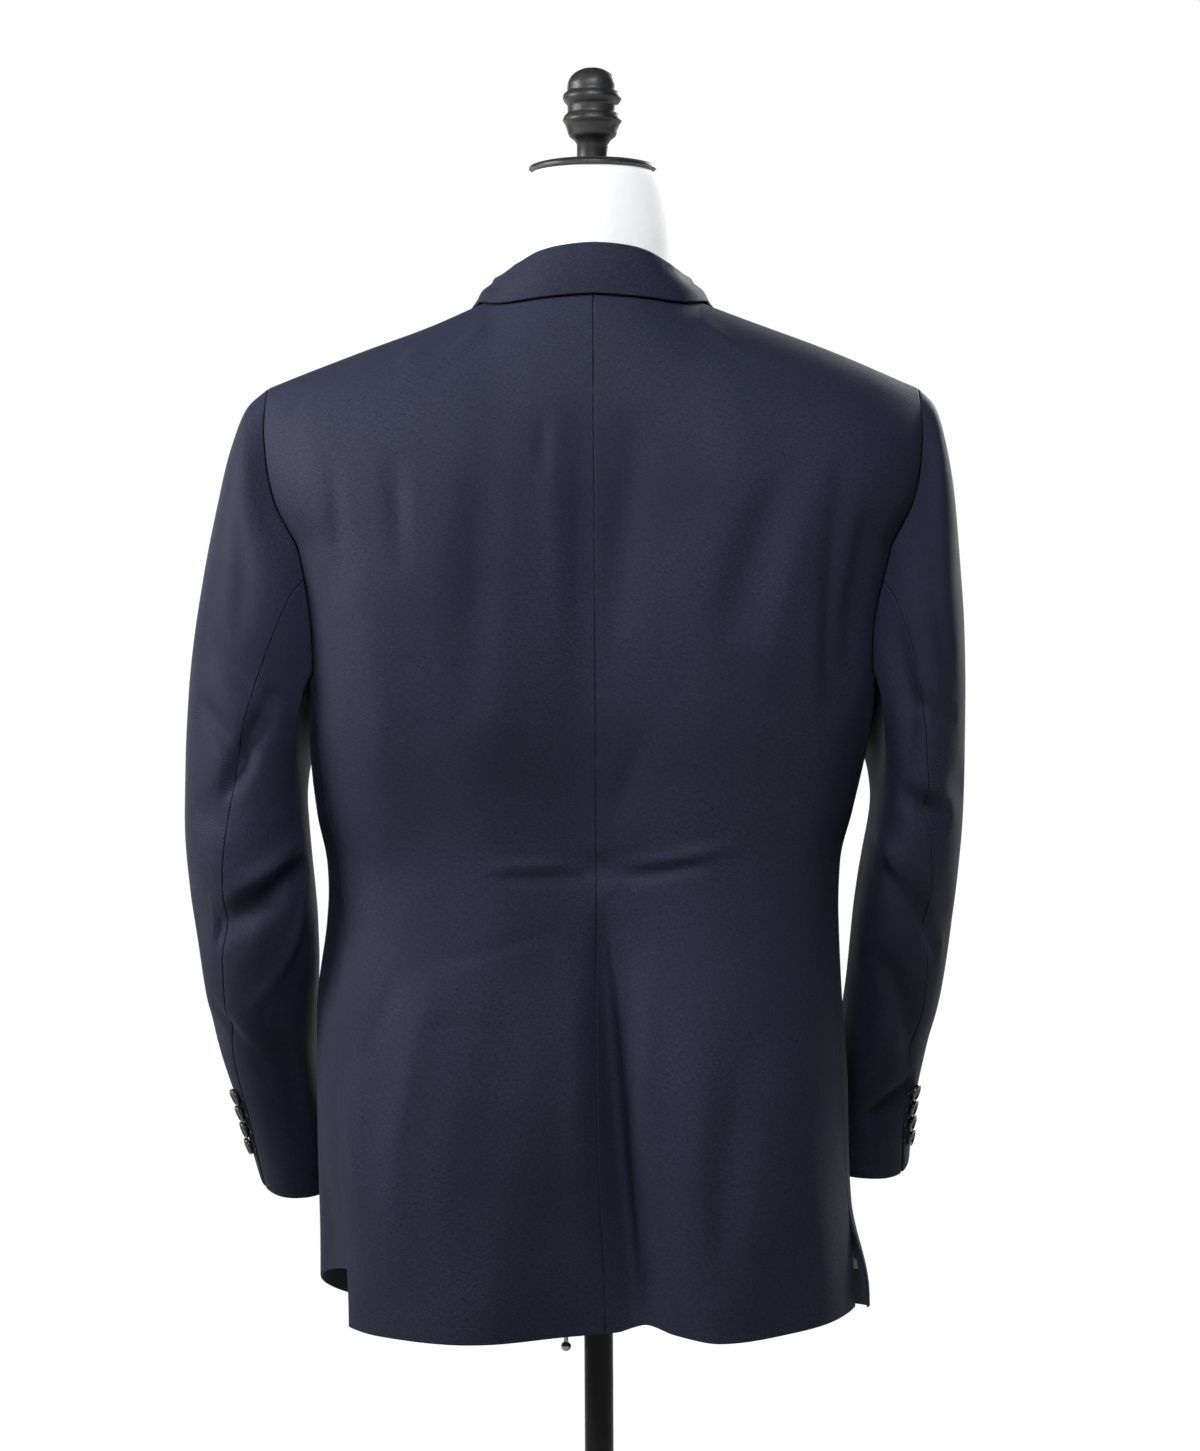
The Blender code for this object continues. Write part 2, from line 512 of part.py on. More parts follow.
# ================================================================== solids
def finish(thing, look):
    colour, roughness, metallic = look
    material = bpy.data.materials.new(thing.name + "_finish")
    material.use_nodes = True
    shader = material.node_tree.nodes["Principled BSDF"]
    shader.inputs["Base Color"].default_value = (*colour, 1)
    shader.inputs["Roughness"].default_value = roughness
    shader.inputs["Metallic"].default_value = metallic
    material.diffuse_color = (*colour, 1)
    thing.data.materials.clear()
    thing.data.materials.append(material)


def add(name, mesh, look, group):
    thing = bpy.data.objects.new(name, mesh)
    group.objects.link(thing)
    finish(thing, look)
    return thing


def in_order(verts):
    return sorted(verts, key=lambda vert: (round(vert.co.y, 5), round(vert.co.x, 5)))


def wall(name, outer, inner, look):
    """A closed cloth wall between two grids of points."""
    rows, columns = outer.shape[:2]
    cloth = bmesh.new()
    bmesh.ops.create_grid(cloth, x_segments=columns - 1, y_segments=rows - 1, size=1)
    below = in_order(cloth.verts)
    made = bmesh.ops.extrude_face_region(cloth, geom=cloth.faces[:], use_keep_orig=True)
    above = in_order([part for part in made["geom"] if isinstance(part, bmesh.types.BMVert)])
    for verts, points in ((below, inner), (above, outer)):
        for vert, point in zip(verts, points.reshape(-1, 3)):
            vert.co = point
    bmesh.ops.recalc_face_normals(cloth, faces=cloth.faces[:])
    if cloth.calc_volume(signed=True) < 0:
        bmesh.ops.reverse_faces(cloth, faces=cloth.faces[:])
    mesh = bpy.data.meshes.new(name)
    cloth.to_mesh(mesh)
    cloth.free()
    mesh.shade_smooth()
    mesh.set_sharp_from_angle(angle=math.radians(50))
    return add(name, mesh, look, PARTS)


def turned(name, profile, look, sides=ROUND_SIDES, group=None):
    """A profile of radius and height, from its top down, turned about Z."""
    mesh = bpy.data.meshes.new(name)
    hollow = profile[0] == profile[-1]
    verts = [(radius, 0, height) for radius, height in (profile[:-1] if hollow else profile)]
    edges = [(i, i + 1) for i in range(len(verts) - 1)]
    mesh.from_pydata(verts, edges + [(len(verts) - 1, 0)] * hollow, [])
    thing = add(name, mesh, look, group or PARTS)
    screw = thing.modifiers.new("turned", "SCREW")
    screw.axis = "Z"
    screw.steps = sides
    screw.render_steps = sides
    screw.use_merge_vertices = True
    screw.merge_threshold = 0.00005
    screw.use_smooth_shade = True
    return thing


def combine(thing, other, operation):
    """Joins or cuts with another object, which stays as a hidden guide."""
    tool = thing.modifiers.new(operation.lower(), "BOOLEAN")
    tool.operation = operation
    tool.solver = "EXACT"
    tool.object = other
    other.hide_render = True
    other.display_type = "WIRE"


# ================================================================== body panels
SEAM = {name: curve(SEAMS, SEAM_COLUMNS, "height", name) for name in SEAM_COLUMNS[1:]}
BACK_HEM_RISE = curve(BACK_HEM, HEM_COLUMNS, "turn", "rise")
EDGE_PAST_MIDDLE = curve(FRONT_EDGE, FRONT_EDGE_COLUMNS, "height", "past_middle")
LEVELS = np.concatenate([LOW_LEVELS, HIGH_LEVELS])


def height_of(level):
    return CHEST_Z + np.minimum(level, 0) * (CHEST_Z - HEM_Z)


def level_of_height(height):
    return (height - CHEST_Z) / (CHEST_Z - HEM_Z)


def half_gap(turn, level):
    """Half a seam's gap, in degrees of turn."""
    step = JACKET.point(turn + 0.5, level) - JACKET.point(turn - 0.5, level)
    return SEAM_GAP / 2 / np.linalg.norm(step, axis=-1)


def back_seam(side, level):
    low = SEAM["back_left" if side > 0 else "back_right"](height_of(level))
    return np.where(level > 0, BACK_ARM_TURN, low)


def front_seam(level):
    return np.where(level > 0, FRONT_ARM_TURN, SEAM["front"](height_of(level)))


def neck_turn(side):
    """The turn at which the back's shoulder seam meets the neck."""
    low, high = 0.0, BACK_ARM_TURN
    for _ in range(SOLVER_STEPS):
        middle = (low + high) / 2
        if abs(JACKET.point(side * middle, 1.0)[0]) > NECK_SEAM_X:
            high = middle
        else:
            low = middle
    return middle


def level_behind(turn, y):
    """The level above the chest line at which a column of the surface has come in to a y."""
    chest_y = JACKET.section(turn, np.full(np.shape(turn), CHEST_Z))[..., 1]
    lean = np.clip((y - RIDGE_Y) / (chest_y - RIDGE_Y), 0, 1)
    return np.arccos(lean ** (ARCH_POWER / 2)) / (math.pi / 2)


def neckline_y(share):
    """The neck seam's plan, from the middle of the back (0) to the shoulder seam (1)."""
    return RIDGE_Y + (BACK_NECK_Y - RIDGE_Y) * (1 - share**NECKLINE_POWER) ** (1 / NECKLINE_POWER)


def hem_lift(level, rise):
    """How much a place near the hem is lifted by the hem's own line."""
    return rise * ease((-level - 1 + HEM_RISE_SHARE) / HEM_RISE_SHARE)


def side_rise(side, around):
    fade = 1 - ease((around - BACK_ARM_TURN) / HEM_RISE_TURNS)
    return FRONT_HEM_RISE + (SIDE_HEM_RISE[side] - FRONT_HEM_RISE) * fade


def coat_wall(name, turn, level, lift, out=0.0, look=WOOL):
    up = np.stack([0 * lift, 0 * lift, lift], -1)
    outer = coat_point(turn, level, out) + up
    inner = coat_point(turn, level, out - WALL) + up
    return wall(name, outer, inner, look)


def back_panel(side):
    neck = neck_turn(side)
    neck_share = neck / BACK_ARM_TURN
    past = np.linspace(neck_share, 1, BACK_COLUMNS_PAST_NECK + 1)[1:]
    shares = np.concatenate([np.array(NECK_SHARES) * neck_share, past])
    top_y = neckline_y(np.clip(shares / neck_share, 0, 1))
    top = level_behind(side * shares * BACK_ARM_TURN, np.maximum(top_y, RIDGE_Y + SEAM_GAP / 2))
    level = LEVELS[:, None] * np.where(LEVELS[:, None] > 0, top[None, :], 1.0)
    last = back_seam(side, level)
    first_gap = half_gap(0.0 * level, level)
    last_gap = half_gap(side * last, level)
    turn = side * (first_gap + shares[None, :] * (last - first_gap - last_gap))
    lift = hem_lift(level, BACK_HEM_RISE(turn))
    return coat_wall(f"back_{SIDE_NAMES[side]}", turn, level, lift)


def side_shares():
    """Where the side body's columns lie between its two seams, closer together by the vent."""
    return np.linspace(0, 1, SIDE_COLUMNS + 1) ** SIDE_SPREAD


def side_body(side):
    level = LOW_LEVELS[:, None] + np.zeros((1, SIDE_COLUMNS + 1))
    height = height_of(level)
    first, last = back_seam(side, level), front_seam(level)
    vent = ease((VENT_TOP_Z - height) / VENT_STEP + 0.5)
    first = first + half_gap(side * first, level) - VENT_LAP_TURN[side] * vent
    last = last - half_gap(side * last, level)
    around = first + side_shares()[None, :] * (last - first)
    sunk = ease((VENT_TOP_Z + VENT_SUNK_ABOVE + VENT_FADE - height) / VENT_FADE)
    sunk = sunk * ease(1 - (around - first) / SUNK_TURNS) * (VENT_LAP_TURN[side] > 0)
    flare = ease((FLARE_TOP_Z - height) / FLARE_HIGH) * ease(1 - (around - first) / FLARE_TURNS)
    out = -(WALL + LAY_GAP) * sunk + FLARE * flare * (side < 0)
    lift = hem_lift(level, side_rise(side, around))
    return coat_wall(f"side_{SIDE_NAMES[side]}", side * around, level, lift, out)


def roll_x(height):
    """The roll line's distance from the middle, on its own side."""
    share = (height - ROLL_LOW[1]) / (ROLL_HIGH[1] - ROLL_LOW[1])
    return ROLL_LOW[0] + (ROLL_HIGH[0] - ROLL_LOW[0]) * np.clip(share, 0, 1)


def front_edge_turn(side, level):
    """Where each row of a front ends, found from the edge's own x at that row's height."""
    low, high = np.full(np.shape(level), 115.0), np.full(np.shape(level), 215.0)
    for _ in range(30):
        middle = (low + high) / 2
        point = JACKET.point(side * middle, level)
        lift = hem_lift(level, side_rise(side, middle))
        height = point[..., 2] + lift
        edge = np.where(height < BUTTON_Z, -EDGE_PAST_MIDDLE(height), roll_x(height))
        inside = side * point[..., 0] > edge
        low = np.where(inside, middle, low)
        high = np.where(inside, high, middle)
    return (low + high) / 2


def overlap_out(side, x):
    """How far the left front stands off the surface where it lies over the right one."""
    rise = ease((OVERLAP_FROM_X - x) / (OVERLAP_FROM_X - OVERLAP_TO_X))
    return LEFT_OVER_RIGHT * rise if side > 0 else 0.0 * rise


def front_panel(side):
    top = level_behind(np.array([side * FRONT_ARM_TURN]), RIDGE_Y - SEAM_GAP / 2)[0]
    levels = np.where(LEVELS > 0, LEVELS * top, LEVELS)
    level = levels[:, None] + np.zeros((1, FRONT_COLUMNS + 1))
    first = front_seam(level)
    first = first + half_gap(side * first, level)
    last = front_edge_turn(side, levels)[:, None]
    share = np.linspace(0, 1, FRONT_COLUMNS + 1)[None, :]
    around = first + share * (last - first)
    out = overlap_out(side, JACKET.point(side * around, level)[..., 0])
    lift = hem_lift(level, side_rise(side, around))
    return coat_wall(f"front_{SIDE_NAMES[side]}", side * around, level, lift, out)


# ================================================================== what lies on the fronts
def front_wall(name, x, z, out, thick, look):
    """A wall over the front panels, from its outline's x and height and its stand-off."""
    turn, level = place(x, z, 2, False)
    return wall(name, coat_point(turn, level, out + thick), coat_point(turn, level, out), look)


def roll_point(along, across):
    """A place on a front as x on its own side and height: along the roll line, and off it."""
    run = np.subtract(ROLL_HIGH, ROLL_LOW)
    off = np.array([run[1], -run[0]]) / np.hypot(*run)
    return (
        ROLL_LOW[0] + along * run[0] + across * off[0],
        ROLL_LOW[1] + along * run[1] + across * off[1],
    )


def lapel(side):
    width = curve(LAPEL_EDGE, LAPEL_COLUMNS, "along", "width")
    share = np.linspace(0, 1, LAPEL_COLUMNS_ACROSS + 1)
    share = np.sort(np.append(share, LAPEL_TOP[1][0]))
    top = np.interp(share, *np.transpose(LAPEL_TOP))
    start = 0.02 if side > 0 else RIGHT_LAPEL_START
    along = start + (top - start)[None, :] * (np.linspace(0, 1, LAPEL_ROWS + 1)[:, None])
    across = share[None, :] * width(along)
    x, z = roll_point(along, across)
    if side < 0:  # the left front's own edge covers what lies past it
        inner = np.maximum(x[:, :1], LAPEL_CLEAR - roll_x(z[:, :1]))
        x = inner + share[None, :] * (x[:, -1:] - inner)
    roll = LAPEL_ROLL * (1 - share) ** 2 + LAPEL_LIFT + LAPEL_PEAK_LIFT * share**2
    out = LAY_GAP + roll[None, :] + overlap_out(side, side * x)
    return front_wall(f"lapel_{SIDE_NAMES[side]}", side * x, z, out, WALL, SATIN)


def strip(name, side, x, z, wide, high, tilt, thick, look):
    """A straight band over one front, such as a pocket's jet."""
    across = np.linspace(-0.5, 0.5, 9)[None, :] * wide
    up = np.array([-0.5, 0.5])[:, None] * high
    return front_wall(
        name, side * (x + across + 0 * up), z + up - tilt * across, STRIP_GAP, thick, look
    )


def pockets():
    for side in SIDE_NAMES:
        for level, name in ((1, "upper"), (-1, "lower")):
            z = POCKET_Z + level * (JET_HIGH + SEAM_GAP * 2) / 2
            strip(f"pocket_jet_{name}_{SIDE_NAMES[side]}", side, POCKET_X, z, POCKET_WIDE,
                  JET_HIGH, POCKET_TILT, JET_THICK, SATIN)
    strip("breast_welt", 1, WELT_X, WELT_Z, WELT_WIDE, WELT_HIGH, -WELT_TILT, WALL, SATIN)


# ================================================================== collar
def neck_seam(along, side):
    """A place on the neck seam and the plan direction away from the neck there."""
    share = 1 + min(along, 0)
    angle = math.radians(90 * share**COLLAR_TURNING)
    if along <= 0:
        turn = np.array([side * share * neck_turn(side)])
        level = level_behind(turn, neckline_y(np.array([share])))
    else:
        x, z = roll_point(LAPEL_TOP[0][1] + GORGE_GAP, 0.0)
        gorge = coat_point(*place(np.array([side * x]), np.array([z]), 2, False))[0]
        y = RIDGE_Y + (gorge[1] - RIDGE_Y) * along
        x = NECK_SEAM_X
        for _ in range(NECKLINE_STEPS):
            turn, level = place(np.array([side * x]), np.array([y]), 1, False)
            x = roll_x(JACKET.point(turn, level)[0, 2])
    lifted = coat_point(turn, level, np.array([COLLAR_LIFT]))[0]
    return lifted, np.array([side * math.sin(angle), math.cos(angle), 0])


def collar_section(along, side):
    """The collar's middle line at one station, from the neck seam over the fold to its edge."""
    size = {name: curve(COLLAR, COLLAR_COLUMNS, "along", name) for name in COLLAR_COLUMNS[1:]}
    up = np.array([0, 0, 1.0])
    base, out = neck_seam(along, side)
    far = base + out * size["cover"](along)
    crest = base + up * size["stand"](along) + out * size["lean"](along)
    turn, level = place(far[:1], far[1:2], 1, bool(far[1] > RIDGE_Y))
    edge = coat_point(turn, level, np.array([COLLAR_LIFT]))[0]
    folds = [(-1.0, -1.0), (-0.7, -0.3), (0.0, 0.0), (0.7, -0.3), (1.0, -1.0)]
    fold = [crest + (out * a + up * b) * COLLAR_FOLD for a, b in folds]
    stand = (base + fold[0]) / 2
    belly = fold[-1] * (1 - BELLY_SHARE) + edge * BELLY_SHARE + out * BELLY_OUT + up * BELLY_UP
    return np.array([base, stand, *fold, belly, edge]), out


def collar():
    even = np.linspace(-1, 1, COLLAR_STATIONS + 1)
    stations = np.sign(even) * np.abs(even) ** STATION_SPREAD
    route = [(along, 1) for along in stations[::-1]] + [(along, -1) for along in stations[1:]]
    path, out = zip(*(collar_section(*station) for station in route))
    path, out = np.array(path), np.array(out)
    run = unit(np.gradient(path, axis=1))
    side = np.cross(out, np.array([0, 0, 1.0]))[:, None, :]
    across = unit(np.cross(side, run)) * COLLAR_WALL / 2
    return wall("collar", path + across, path - across, WOOL)


# ================================================================== sleeves
def armhole(side):
    """The armhole's own corners, from the shoulder's tip down its back and up its front: how far
    round the sleeve each one is, and its point and the way out of the panel there."""
    back_top = level_behind(np.array([side * BACK_ARM_TURN]), RIDGE_Y + SEAM_GAP / 2)[0]
    front_top = level_behind(np.array([side * FRONT_ARM_TURN]), RIDGE_Y - SEAM_GAP / 2)[0]
    down, up = HIGH_LEVELS[::-1] * back_top, HIGH_LEVELS * front_top
    under = BACK_ARM_TURN + side_shares() * (FRONT_ARM_TURN - BACK_ARM_TURN)
    around = np.concatenate([0 * down + BACK_ARM_TURN, under, 0 * up + FRONT_ARM_TURN])
    level = np.concatenate([down, 0 * under, up])
    point, normal = coat_point(side * around, level), JACKET.normal(side * around, level)
    away = unit(np.cross(normal, unit(np.gradient(point, axis=0))) * -side)
    away[[0, -1]] = unit(away[0] + away[-1])
    point[[0, -1], 0] += side * TIP_GAP
    walked = np.linalg.norm(np.diff(point, axis=0), axis=1)
    walked = np.concatenate([[0], np.cumsum(walked)])
    low = walked[len(down) + SIDE_COLUMNS // 2]
    back, front = walked / low * 180, 180 + (walked - low) / (walked[-1] - low) * 180
    return np.where(walked < low, back, front), point, away


class Sleeve:
    """A sleeve's surface: share runs down it, turn runs round it from its outer side backwards."""

    def __init__(self, side, rows):
        self.side = side
        steps = [(float(i),) + row for i, row in enumerate(rows)]
        columns = ("step",) + SLEEVE_COLUMNS
        self.size = {name: curve(steps, columns, "step", name) for name in SLEEVE_COLUMNS}
        self.steps = len(rows) - 1
        self.armhole = armhole(side)
        corners = self.armhole[0][:-1]
        self.back = corners[np.argmin(np.abs(corners - SLEEVE_BACK_TURN[0]))]
        self.front = corners[np.argmin(np.abs(corners - SLEEVE_FRONT_TURN[0]))]
        under = (corners >= self.back) & (corners <= self.front)
        upper = np.concatenate([corners[corners >= self.front] - 360, corners[corners <= self.back]])
        self.under_shares = (corners[under] - self.back) / (self.front - self.back)
        self.top_shares = (upper - self.front + 360) / (self.back - self.front + 360)

    def read_armhole(self, turn, values):
        round_it = self.armhole[0]
        return np.stack(
            [np.interp(np.mod(turn, 360), round_it, values[:, k]) for k in range(3)], -1
        )

    def ring(self, share, turn):
        at = {name: self.size[name](share * self.steps) for name in SLEEVE_COLUMNS}
        c, s = np.cos(np.radians(turn)), np.sin(np.radians(turn))
        across, deep = powered(c, SLEEVE_POWER), powered(s, SLEEVE_POWER)
        x = (at["outer_x"] + at["inner_x"]) / 2 + (at["outer_x"] - at["inner_x"]) / 2 * across
        y = (at["back_y"] + at["front_y"]) / 2 + (at["back_y"] - at["front_y"]) / 2 * deep
        sides = (at["outer_z"] + at["inner_z"]) / 2
        ends = (at["back_z"] + at["front_z"]) / 2
        z = (sides + ends) / 2 + (sides - ends) / 2 * np.cos(np.radians(2 * turn))
        z = z + (at["outer_z"] - at["inner_z"]) / 2 * across
        z = z + (at["back_z"] - at["front_z"]) / 2 * deep
        return np.stack([self.side * x, y, z], -1)

    def plain(self, share, turn):
        share, turn = np.broadcast_arrays(np.asarray(share, float), np.asarray(turn, float))
        _, point, away = self.armhole
        edge = self.read_armhole(turn, point) + self.read_armhole(turn, away) * ARMHOLE_GAP
        seat = (1 - ease(share / SEAT_SHARE))[..., None]
        return self.ring(share, turn) + (edge - self.ring(0 * share, turn)) * seat

    def normal(self, share, turn):
        share, turn = np.broadcast_arrays(np.asarray(share, float), np.asarray(turn, float))
        safe = np.clip(share, 0.004, 0.996)
        around = self.plain(safe, turn + 1.0) - self.plain(safe, turn - 1.0)
        down = self.plain(safe + 0.004, turn) - self.plain(safe - 0.004, turn)
        own = unit(np.cross(down, around) * self.side)
        # At the armhole the wall's thickness keeps clear of the panel's edge.
        away = self.read_armhole(turn, self.armhole[2])
        lead = np.maximum(np.sum(own * away, axis=-1), 0) * (1 - ease(share * self.steps))
        return unit(own - away * lead[..., None])

    def point(self, share, turn, out=0.0):
        plain, normal = self.plain(share, turn), self.normal(share, turn)
        depth = np.zeros(plain.shape[:-1])
        for row in SLEEVE_FOLDS:
            fold = dict(zip(SLEEVE_FOLD_COLUMNS, row))
            if fold["side"] != self.side:
                continue
            ends = self.plain(
                np.array([fold["from_share"], fold["to_share"]]),
                np.array([fold["from_turn"], fold["to_turn"]]),
            )
            run = ends[1] - ends[0]
            along = ((plain - ends[0]) @ run) / (run @ run)
            nearest = ends[0] + np.clip(along, 0, 1)[..., None] * run
            bulge = np.sin(math.pi * np.clip(along, 0, 1)) ** FADE_POWER
            off = np.linalg.norm(np.cross(plain - ends[0], unit(run)), axis=-1)
            middle = self.normal(
                (fold["from_share"] + fold["to_share"]) / 2, (fold["from_turn"] + fold["to_turn"]) / 2
            )
            facing = normal @ middle > FOLD_FACING
            depth = depth + fold["depth"] * bulge * facing * np.exp(-((off / fold["half"]) ** 2))
        return plain + normal * (np.asarray(out) - depth)[..., None]

    def back_seam(self, share):
        return self.back + (SLEEVE_BACK_TURN[1] - self.back) * share**SEAM_WANDER

    def front_seam(self, share):
        return self.front + (SLEEVE_FRONT_TURN[1] - self.front) * share**SEAM_WANDER

    def half_gap(self, share, turn):
        step = self.plain(share, turn + 1) - self.plain(share, turn - 1)
        return SEAM_GAP / np.linalg.norm(step, axis=-1)

    def half(self, name, columns, top):
        share = np.linspace(0, 1, SLEEVE_ROWS + 1)[:, None] ** ROW_SPREAD + 0 * columns[None, :]
        back, front = self.back_seam(share), self.front_seam(share)
        notch = CUFF_NOTCH_TURN * ease((share - 1 + CUFF_VENT) / CUFF_VENT)
        back_gap, front_gap = self.half_gap(share, back), self.half_gap(share, front)
        if top:
            first, last = front - 360 + front_gap, back - back_gap - notch
        else:
            first, last = back + back_gap, front - front_gap
        turn = first + (last - first) * columns[None, :]
        return wall(name, self.point(share, turn), self.point(share, turn, -WALL), WOOL)

    def button(self, name, share):
        turn = self.back_seam(share) - CUFF_BUTTON_IN
        spot, spin = np.array([share]), np.array([turn])
        seat_button(name, self.point(spot, spin)[0], self.normal(spot, spin)[0],
                    CUFF_BUTTON_R, CUFF_BUTTON_THICK)


def sleeves():
    for side, rows in ((1, LEFT_SLEEVE), (-1, RIGHT_SLEEVE)):
        sleeve = Sleeve(side, rows)
        sleeve.half(f"top_sleeve_{SIDE_NAMES[side]}", sleeve.top_shares, True)
        sleeve.half(f"under_sleeve_{SIDE_NAMES[side]}", sleeve.under_shares, False)
        for number, share in enumerate(CUFF_BUTTON_SHARES, 1):
            sleeve.button(f"cuff_button_{SIDE_NAMES[side]}_{number}", share)


# ================================================================== buttons
def seat_button(name, point, normal, radius, thick):
    """A button just off the cloth, facing along the cloth's normal."""
    profile = (
        (0.0, 0.62 * thick), (0.62 * radius, 0.62 * thick), (0.80 * radius, thick),
        (radius, 0.72 * thick), (0.92 * radius, 0.0), (0.0, 0.0),
    )
    button = turned(name, profile, HORN, BUTTON_SIDES)
    facing = Vector(normal).to_track_quat("Z", "Y").to_matrix().to_4x4()
    button.matrix_world = Matrix.Translation(Vector(point + normal * BUTTON_SHANK)) @ facing


def front_button():
    turn, level = place(np.array([0.0]), np.array([BUTTON_Z]), 2, False)
    point = coat_point(turn, level, LEFT_OVER_RIGHT + FRONT_BUTTON_LIFT)[0]
    seat_button("front_button", point, JACKET.normal(turn, level)[0], BUTTON_R, BUTTON_THICK)


# ================================================================== dress form
def form():
    """The torso, smooth and limbless, with its neck, and a bore that the pole slides in."""
    levels = np.concatenate([
        np.linspace(level_of_height(FORM_BOTTOM_Z), 0, 8), np.linspace(0, 0.972, 9)[1:],
    ])
    turns = np.arange(FORM_TURNS) * 360 / FORM_TURNS
    points = FORM.point(turns[None, :], levels[:, None])
    body = bmesh.new()
    bmesh.ops.create_cone(body, cap_ends=True, segments=FORM_TURNS, radius1=1, radius2=1, depth=1)
    rails = [edge for edge in body.edges if edge.verts[0].co.z * edge.verts[1].co.z < 0]
    bmesh.ops.subdivide_edges(body, edges=rails, cuts=len(levels) - 2, use_grid_fill=True)
    rings = {}
    for vert in body.verts:
        rings.setdefault(round(vert.co.z, 4), []).append(vert)
    for row, height in enumerate(sorted(rings)):
        for column, vert in enumerate(sorted(rings[height], key=turn_of)):
            vert.co = points[row, column]
    mesh = bpy.data.meshes.new("form_torso")
    bmesh.ops.triangulate(body, faces=[face for face in body.faces if len(face.verts) > 4])
    body.to_mesh(mesh)
    body.free()
    mesh.shade_smooth()
    torso = add("form_torso", mesh, JERSEY, PARTS)
    neck_top = ((0.0, NECK[0][1]),)
    neck_low = ((0.0, NECK[-1][1]),)
    neck = turned("form_neck_guide", neck_top + NECK + neck_low, JERSEY, ROUND_SIDES, CUTTERS)
    combine(torso, neck, "UNION")
    bore = turned("bore_guide", ((0.0, BORE_TOP_Z), (POLE_R + BORE_GAP, BORE_TOP_Z),
                                 (POLE_R + BORE_GAP, 0.6), (0.0, 0.6)), STEEL, ROUND_SIDES, CUTTERS)
    combine(torso, bore, "DIFFERENCE")


def turn_of(vert):
    """A vertex's turn round Z, from +Y over +X, between 0 and 360."""
    return round(math.degrees(math.atan2(vert.co.x, vert.co.y)), 3) % 360


def ring_profile(outer, inner, low, high, edge=0.001):
    """A closed profile of a ring with slightly eased outer edges, from its top down."""
    return (
        (inner, high), (outer - edge, high), (outer, high - edge), (outer, low + edge),
        (outer - edge, low), (inner, low), (inner, high),
    )


def stand():
    bore = POLE_R + BORE_GAP
    turned("form_socket", ring_profile(SOCKET_R, bore, SOCKET_BOTTOM_Z, FORM_BOTTOM_Z - FACE_GAP),
           BLACK_PAINT)
    clamp = turned("clamp_ring", ring_profile(CLAMP_R, bore, CLAMP_BOTTOM_Z, CLAMP_TOP_Z),
                   BLACK_PAINT)
    lie_along_x = Matrix.Translation((0, 0, KNOB_Z)) @ Matrix.Rotation(math.radians(90), 4, "Y")
    hole = turned("screw_hole_guide", ((0.0, CLAMP_R * 2), (SCREW_R + SCREW_GAP, CLAMP_R * 2),
                                       (SCREW_R + SCREW_GAP, POLE_R / 2), (0.0, POLE_R / 2)),
                  STEEL, BUTTON_SIDES, CUTTERS)
    hole.matrix_world = lie_along_x
    combine(clamp, hole, "DIFFERENCE")
    knob = turned("clamp_knob", ((0.0, KNOB_X + BAR_R + 0.0014), (SCREW_R, KNOB_X + BAR_R + 0.0014),
                                 (SCREW_R, SCREW_END_X), (0.0, SCREW_END_X)), STEEL, BUTTON_SIDES)
    knob.matrix_world = lie_along_x
    ball = [(math.sin(a) * KNOB_BALL_R, BAR_HALF + math.cos(a) * KNOB_BALL_R)
            for a in np.linspace(0, math.pi * 0.86, 6)]
    bar_profile = ball + [(r, -z) for r, z in reversed(ball)]
    bar = turned("bar_guide", bar_profile, STEEL, BAR_SIDES, CUTTERS)
    bar.matrix_world = Matrix.Translation((KNOB_X, 0, KNOB_Z))
    combine(knob, bar, "UNION")
    turned("pole", ((0.0, POLE_TOP_Z), (POLE_R - 0.001, POLE_TOP_Z), (POLE_R, POLE_TOP_Z - 0.001),
                    (POLE_R, POLE_BOTTOM_Z), (0.0, POLE_BOTTOM_Z)), BLACK_PAINT)
    turned("base_plate", (
        (0.0, HUB_FLOOR_Z), (POLE_R + FACE_GAP, HUB_FLOOR_Z), (POLE_R + FACE_GAP, HUB_TOP_Z),
        (HUB_R - 0.002, HUB_TOP_Z), (HUB_R, HUB_TOP_Z - 0.002), (HUB_R, BASE_THICK + 0.004),
        (HUB_R + 0.004, BASE_THICK), (BASE_R - BASE_EDGE, BASE_THICK),
        (BASE_R, BASE_THICK - BASE_EDGE), (BASE_R, 0.0), (0.0, 0.0),
    ), BLACK_PAINT, BASE_SIDES)


def neck_top():
    top = CAP_BOTTOM_Z + CAP_THICK
    turned("neck_cap", (
        (0.0, top), (CAP_R - CAP_EDGE, top), (CAP_R, top - CAP_EDGE), (CAP_R, CAP_BOTTOM_Z),
        (0.0, CAP_BOTTOM_Z),
    ), BLACK_WOOD)
    profile = ((0.0, FINIAL_TOP),) + FINIAL + ((FINIAL[-1][0], FACE_GAP), (0.0, FACE_GAP))
    turned("finial", tuple((r, top + z) for r, z in profile), BLACK_WOOD, FINIAL_SIDES)


# ================================================================== the part
def collection(name):
    made = bpy.data.collections.new(name)
    bpy.context.scene.collection.children.link(made)
    return made


for old in list(bpy.data.objects):
    bpy.data.objects.remove(old, do_unlink=True)
PARTS = collection("tuxedo_jacket_on_form")
CUTTERS = collection("cutters")

for each in SIDE_NAMES:
    back_panel(each)
    side_body(each)
    front_panel(each)
    lapel(each)
collar()
sleeves()
pockets()
front_button()
form()
stand()
neck_top()
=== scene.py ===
"""The looks of a tuxedo jacket on a limbless dress form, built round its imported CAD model.

Metres, +Z up, the wearer faces -Y and the wearer's left is +X.  The cloth pieces are made again
from the same tables and surface functions as the solids, on finer grids, with their creases, and
each lies where its solid is.
"""

import math

import bmesh
import bpy
import numpy as np
from mathutils import Matrix, Vector


